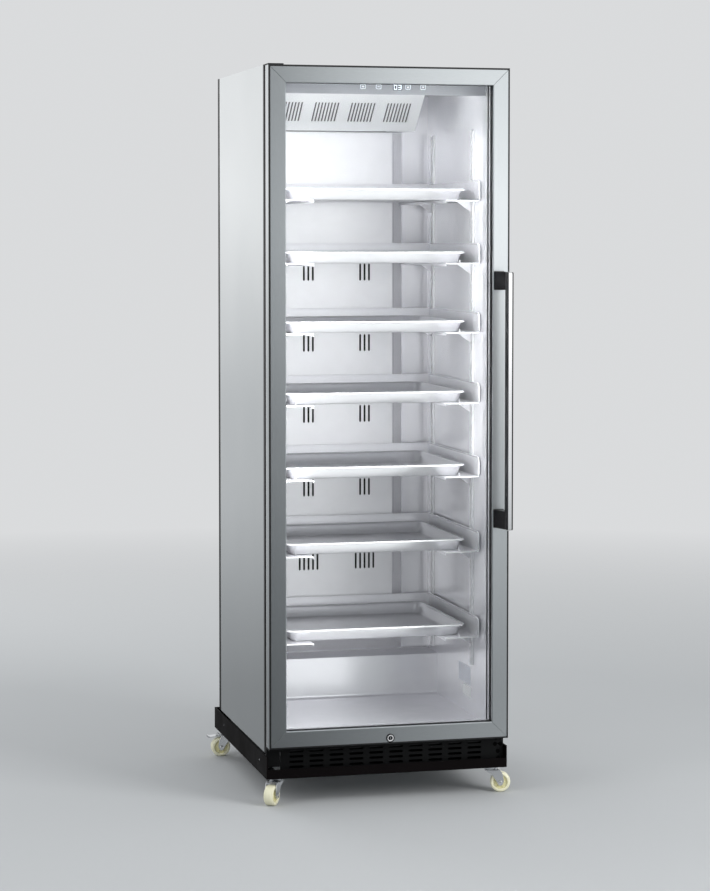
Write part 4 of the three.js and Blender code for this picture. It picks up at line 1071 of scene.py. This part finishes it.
def wheel_shapes():
    """The tyre with rounded shoulders, and the hub recess with its ribs."""
    half, center = 12.0, (0, TRAIL, WHEEL_RADIUS)
    shoulder = [(WHEEL_RADIUS, half - 6), (24.7, half - 3.4), (23.6, half - 1.2), (21.5, half), (18.6, half),
                (17.4, half - 1.2)]
    tyre = [(r, -x) for r, x in shoulder[::-1]] + shoulder + [(16.8, half - 4.0), (16.8, -half + 4.0)]
    step = [(16.9, half - 4.4), (8.2, half - 3.6), (7.5, half - 1.5), (4.5, half - 1.5)]
    hub = [(r, -x) for r, x in step[::-1]] + step
    ribs = []
    for side in (-1, 1):
        for k in range(6):
            turn = math.radians(60 * k)
            along = Vector((math.cos(turn), math.sin(turn)))
            across = Vector((-along.y, along.x)) * 0.9
            root, tip = along * 7.6, along * 17.0
            corners = (root + across, tip + across, tip - across, root - across)
            outline = [(TRAIL + c.x, WHEEL_RADIUS + c.y) for c in corners]
            ribs.append(prism(outline, "x", *sorted((side * (half - 4.6), side * (half - 2.0)))))
    return lathe(tyre, center, "x", 56, True), joined(lathe(hub, center, "x", 40, True), *ribs)


def build_casters():
    """Four casters: the legs, race and axle swivel, the tyre and hub roll, and the rear ones have a pedal."""
    tyre, hub = wheel_shapes()
    for corner in CASTERS:
        fork_nodes, wheel_nodes = (f"caster_fork_{corner}",), (f"caster_wheel_{corner}",)
        parts = (
            ("legs", fork_shape(), "zinc", "fork", "caster_zinc", fork_nodes, 0.8, 3),
            ("race", race_shape(), "zinc", "fork", "caster_zinc"),
            ("axle", axle_shape(), "chrome", "fork", "caster_zinc", (), 0.4),
            ("tyre", tyre, "nylon", "wheel", "caster_nylon", wheel_nodes, 0, 2, 40),
            ("hub", hub, "nylon_hub", "wheel", "caster_nylon", (), 0.3),
        )
        for name, shape, material, body, *rest in parts:
            piece(f"caster_{name}_{corner}", place_caster(shape, corner), material, f"{body}_{corner}", *rest)
        if corner.startswith("rear"):
            refined(f"brake_pedal_{corner}", "zinc", 0.6, 2)


# ---------------------------------------------------------------- stage, lights and camera
def card(name, location, size, rotation, glow_x, glow_y):
    """A glowing panel that only reflections see; its glow is the product of two ramps of place, strength."""
    shader = Shader(name)
    spot = shader.node("ShaderNodeTexCoord")
    parts = shader.node("ShaderNodeSeparateXYZ")
    shader.link(spot.outputs["Object"], parts.inputs["Vector"])
    glows = []
    for axis, stops in (("X", glow_x), ("Y", glow_y)):
        low, high = stops[0][0], stops[-1][0]
        place = shader.span(parts.outputs[axis], 0.0, 1.0, low, high)
        scaled = [((at - low) / (high - low), cooled(value * 0.5)) for at, value in stops]
        glows.append(shader.ramp(place, *scaled))
    emission = shader.node("ShaderNodeEmission", Strength=4.0)  # undoes the two halvings above
    shader.link(shader.multiply_color(*glows), emission.inputs["Color"])
    shader.surface(emission.outputs["Emission"])
    made = plane(name, size, location, shader.material)
    made.rotation_euler = tuple(math.radians(turn) for turn in rotation)
    for ray in ("camera", "diffuse", "transmission", "volume_scatter", "shadow"):
        setattr(made, f"visible_{ray}", False)
    return made


def cooled(glow):
    """Dim parts of a reflected screen are slightly blue, bright parts neutral."""
    dim = 1 - min(1.0, 2 * glow)
    return (glow * (1 - 0.05 * dim), glow, glow * (1 + 0.04 * dim))


def plane(name, size, location, material):
    """A flat rectangle that belongs to the stage and not to the object."""
    x, y = size[0] / 2, size[1] / 2
    mesh = bpy.data.meshes.new(name)
    mesh.from_pydata([(-x, -y, 0), (x, -y, 0), (x, y, 0), (-x, y, 0)], [], [(0, 1, 2, 3)])
    mesh.materials.append(material)
    made = bpy.data.objects.new(name, mesh)
    made.location = location
    bpy.context.scene.collection.objects.link(made)
    return made


def area_light(name, location, target, size, power, seen_in_gloss=False):
    """A rectangular light aimed at a target and never seen by the camera."""
    data = bpy.data.lights.new(name, "AREA")
    data.shape = "RECTANGLE"
    data.size, data.size_y = size
    data.energy = power
    made = bpy.data.objects.new(name, data)
    made.location = location
    made.rotation_euler = (Vector(target) - Vector(location)).to_track_quat("-Z", "Y").to_euler()
    made.visible_camera = False
    made.visible_glossy = seen_in_gloss
    bpy.context.scene.collection.objects.link(made)
    return made


BACKDROP = (0.70, 0.71, 0.72)


def build_stage():
    """A pale floor that fades into the backdrop colour away from the object."""
    shader = Shader("floor", (0.50, 0.515, 0.525), 0.8, Specular_IOR_Level=0.0)
    grain = shader.noise(shader.coordinates(), 6, 2.0, 0.4)
    shader.roughness(shader.span(grain, 0.78, 0.82))
    spot = shader.node("ShaderNodeTexCoord")
    distance = shader.node("ShaderNodeVectorMath", operation="LENGTH")
    shader.link(spot.outputs["Object"], distance.inputs[0])
    fade = shader.span(distance.outputs["Value"], 0.0, 1.0, 1.6, 5.5)
    clear = shader.node("ShaderNodeBsdfTransparent")
    shader.mixed(fade, shader.bsdf.outputs["BSDF"], clear.outputs["BSDF"])
    floor = plane("floor", (12, 12), (0, 0, 0), shader.material)
    floor.visible_glossy = False

    world = bpy.data.worlds.new("studio")
    world.use_nodes = True
    world.node_tree.nodes["Background"].inputs["Color"].default_value = (*BACKDROP, 1)
    world.node_tree.nodes["Background"].inputs["Strength"].default_value = 1.0
    bpy.context.scene.world = world
    bpy.context.scene.view_settings.view_transform = "Standard"


def build_reflections():
    """What the steel mirrors: dark and light floor, a graded screen in front and one behind to the left."""
    even = ((-1, 1.0), (1, 1.0))
    turn, reach = 13, 15  # the floor cards' degrees of turn, and how far out their middles lie, in metres
    x, y = reach * math.sin(math.radians(turn)), reach * math.cos(math.radians(turn))
    floor_size, floor_turn = (60, 2 * reach), (0, 0, turn)
    front_floor = ((-0.35, 0.11), (0.1, 0.37), (0.5, 0.52))
    card("mirror_floor_front", (x, -y, -0.02), floor_size, floor_turn, front_floor, even)
    card("mirror_floor_back", (-x, y, -0.03), floor_size, floor_turn, ((-1, 0.27), (1, 0.27)), even)
    middle, upright = 1.25, (90, 0, 0)
    front_across = ((-0.28, 0.17), (-0.22, 0.22), (-0.13, 0.42), (-0.013, 0.68), (0.104, 0.83), (0.25, 0.95),
                    (0.4, 0.96))
    front_heights = ((0.0, 0.28), (0.21, 0.47), (0.44, 0.60), (0.63, 0.76), (0.92, 0.90), (1.2, 1.36),
                     (1.48, 1.70), (1.62, 1.36), (1.77, 1.16), (2.4, 1.28))
    side_heights = ((0.0, 0.29), (0.25, 0.42), (0.54, 0.60), (0.85, 0.63), (1.16, 0.84), (1.49, 1.12),
                    (2.4, 0.96))
    front_up, side_up = (
        [(height - middle, glow) for height, glow in heights] for heights in (front_heights, side_heights)
    )
    card("mirror_screen_front", (0.2, -1.35, middle), (2.4, 2.5), upright, front_across, front_up)
    card("mirror_screen_side", (-0.95, 1.45, middle), (1.5, 2.5), upright, even, side_up)


def build_lights():
    """Three studio lights, and the lights that stand for the cabinet's own bright inside."""
    area_light("key", (2.3, -3.2, 2.3), (0.0, 0, 1.0), (1.8, 2.6), 100)
    area_light("fill_left", (-3.4, -1.6, 2.4), (0, 0, 1.0), (2.0, 2.4), 30)
    area_light("back_left", (-1.6, 3.6, 2.6), (-0.2, 0, 1.2), (2.4, 1.8), 40)
    area_light("room_top", (0, -0.165, 1.736), (0, 0.05, 0.6), (0.42, 0.03), 0.4)
    area_light("room_high", (-0.02, -0.252, 1.18), (-0.02, 1.0, 1.18), (0.46, 0.92), 1.15, True)
    area_light("room_low", (-0.06, -0.252, 0.46), (-0.06, 1.0, 0.46), (0.38, 0.50), 0.56, True)
    area_light("room_fill_left", (-0.23, -0.245, 1.20), (0.05, 0.284, 1.20), (0.06, 0.86), 3.7)
    area_light("room_fill_right", (0.23, -0.245, 1.20), (-0.2, 0.284, 1.20), (0.06, 0.86), 1.4)
    area_light("room_fill_low", (-0.20, -0.262, 0.50), (-0.24, 1.0, 0.50), (0.10, 0.6), 0.5)


def build_camera():
    """Looks from the left, level with the upper part of the door."""
    data = bpy.data.cameras.new("camera")
    camera = bpy.data.objects.new("camera", data)
    yaw, pitch = math.radians(14.01), math.radians(2.734)
    camera.location = (-1.5340, -6.0988, 1.3732)
    camera.rotation_euler = (math.radians(90) - pitch, 0, -yaw)
    data.lens = 100.41
    data.shift_y = -0.10
    data.clip_end = 60
    bpy.context.scene.collection.objects.link(camera)
    bpy.context.scene.camera = camera


build_camera()
build_stage()
build_reflections()
build_lights()
build_door_frame()
build_glass()
build_gasket()
build_handle()
build_lock()
build_shell()
build_liner()
build_cold_air()
build_light()
build_controls()
build_standards()
build_racks()
build_pans()
build_labels()
build_machine()
build_fasteners()
build_casters()
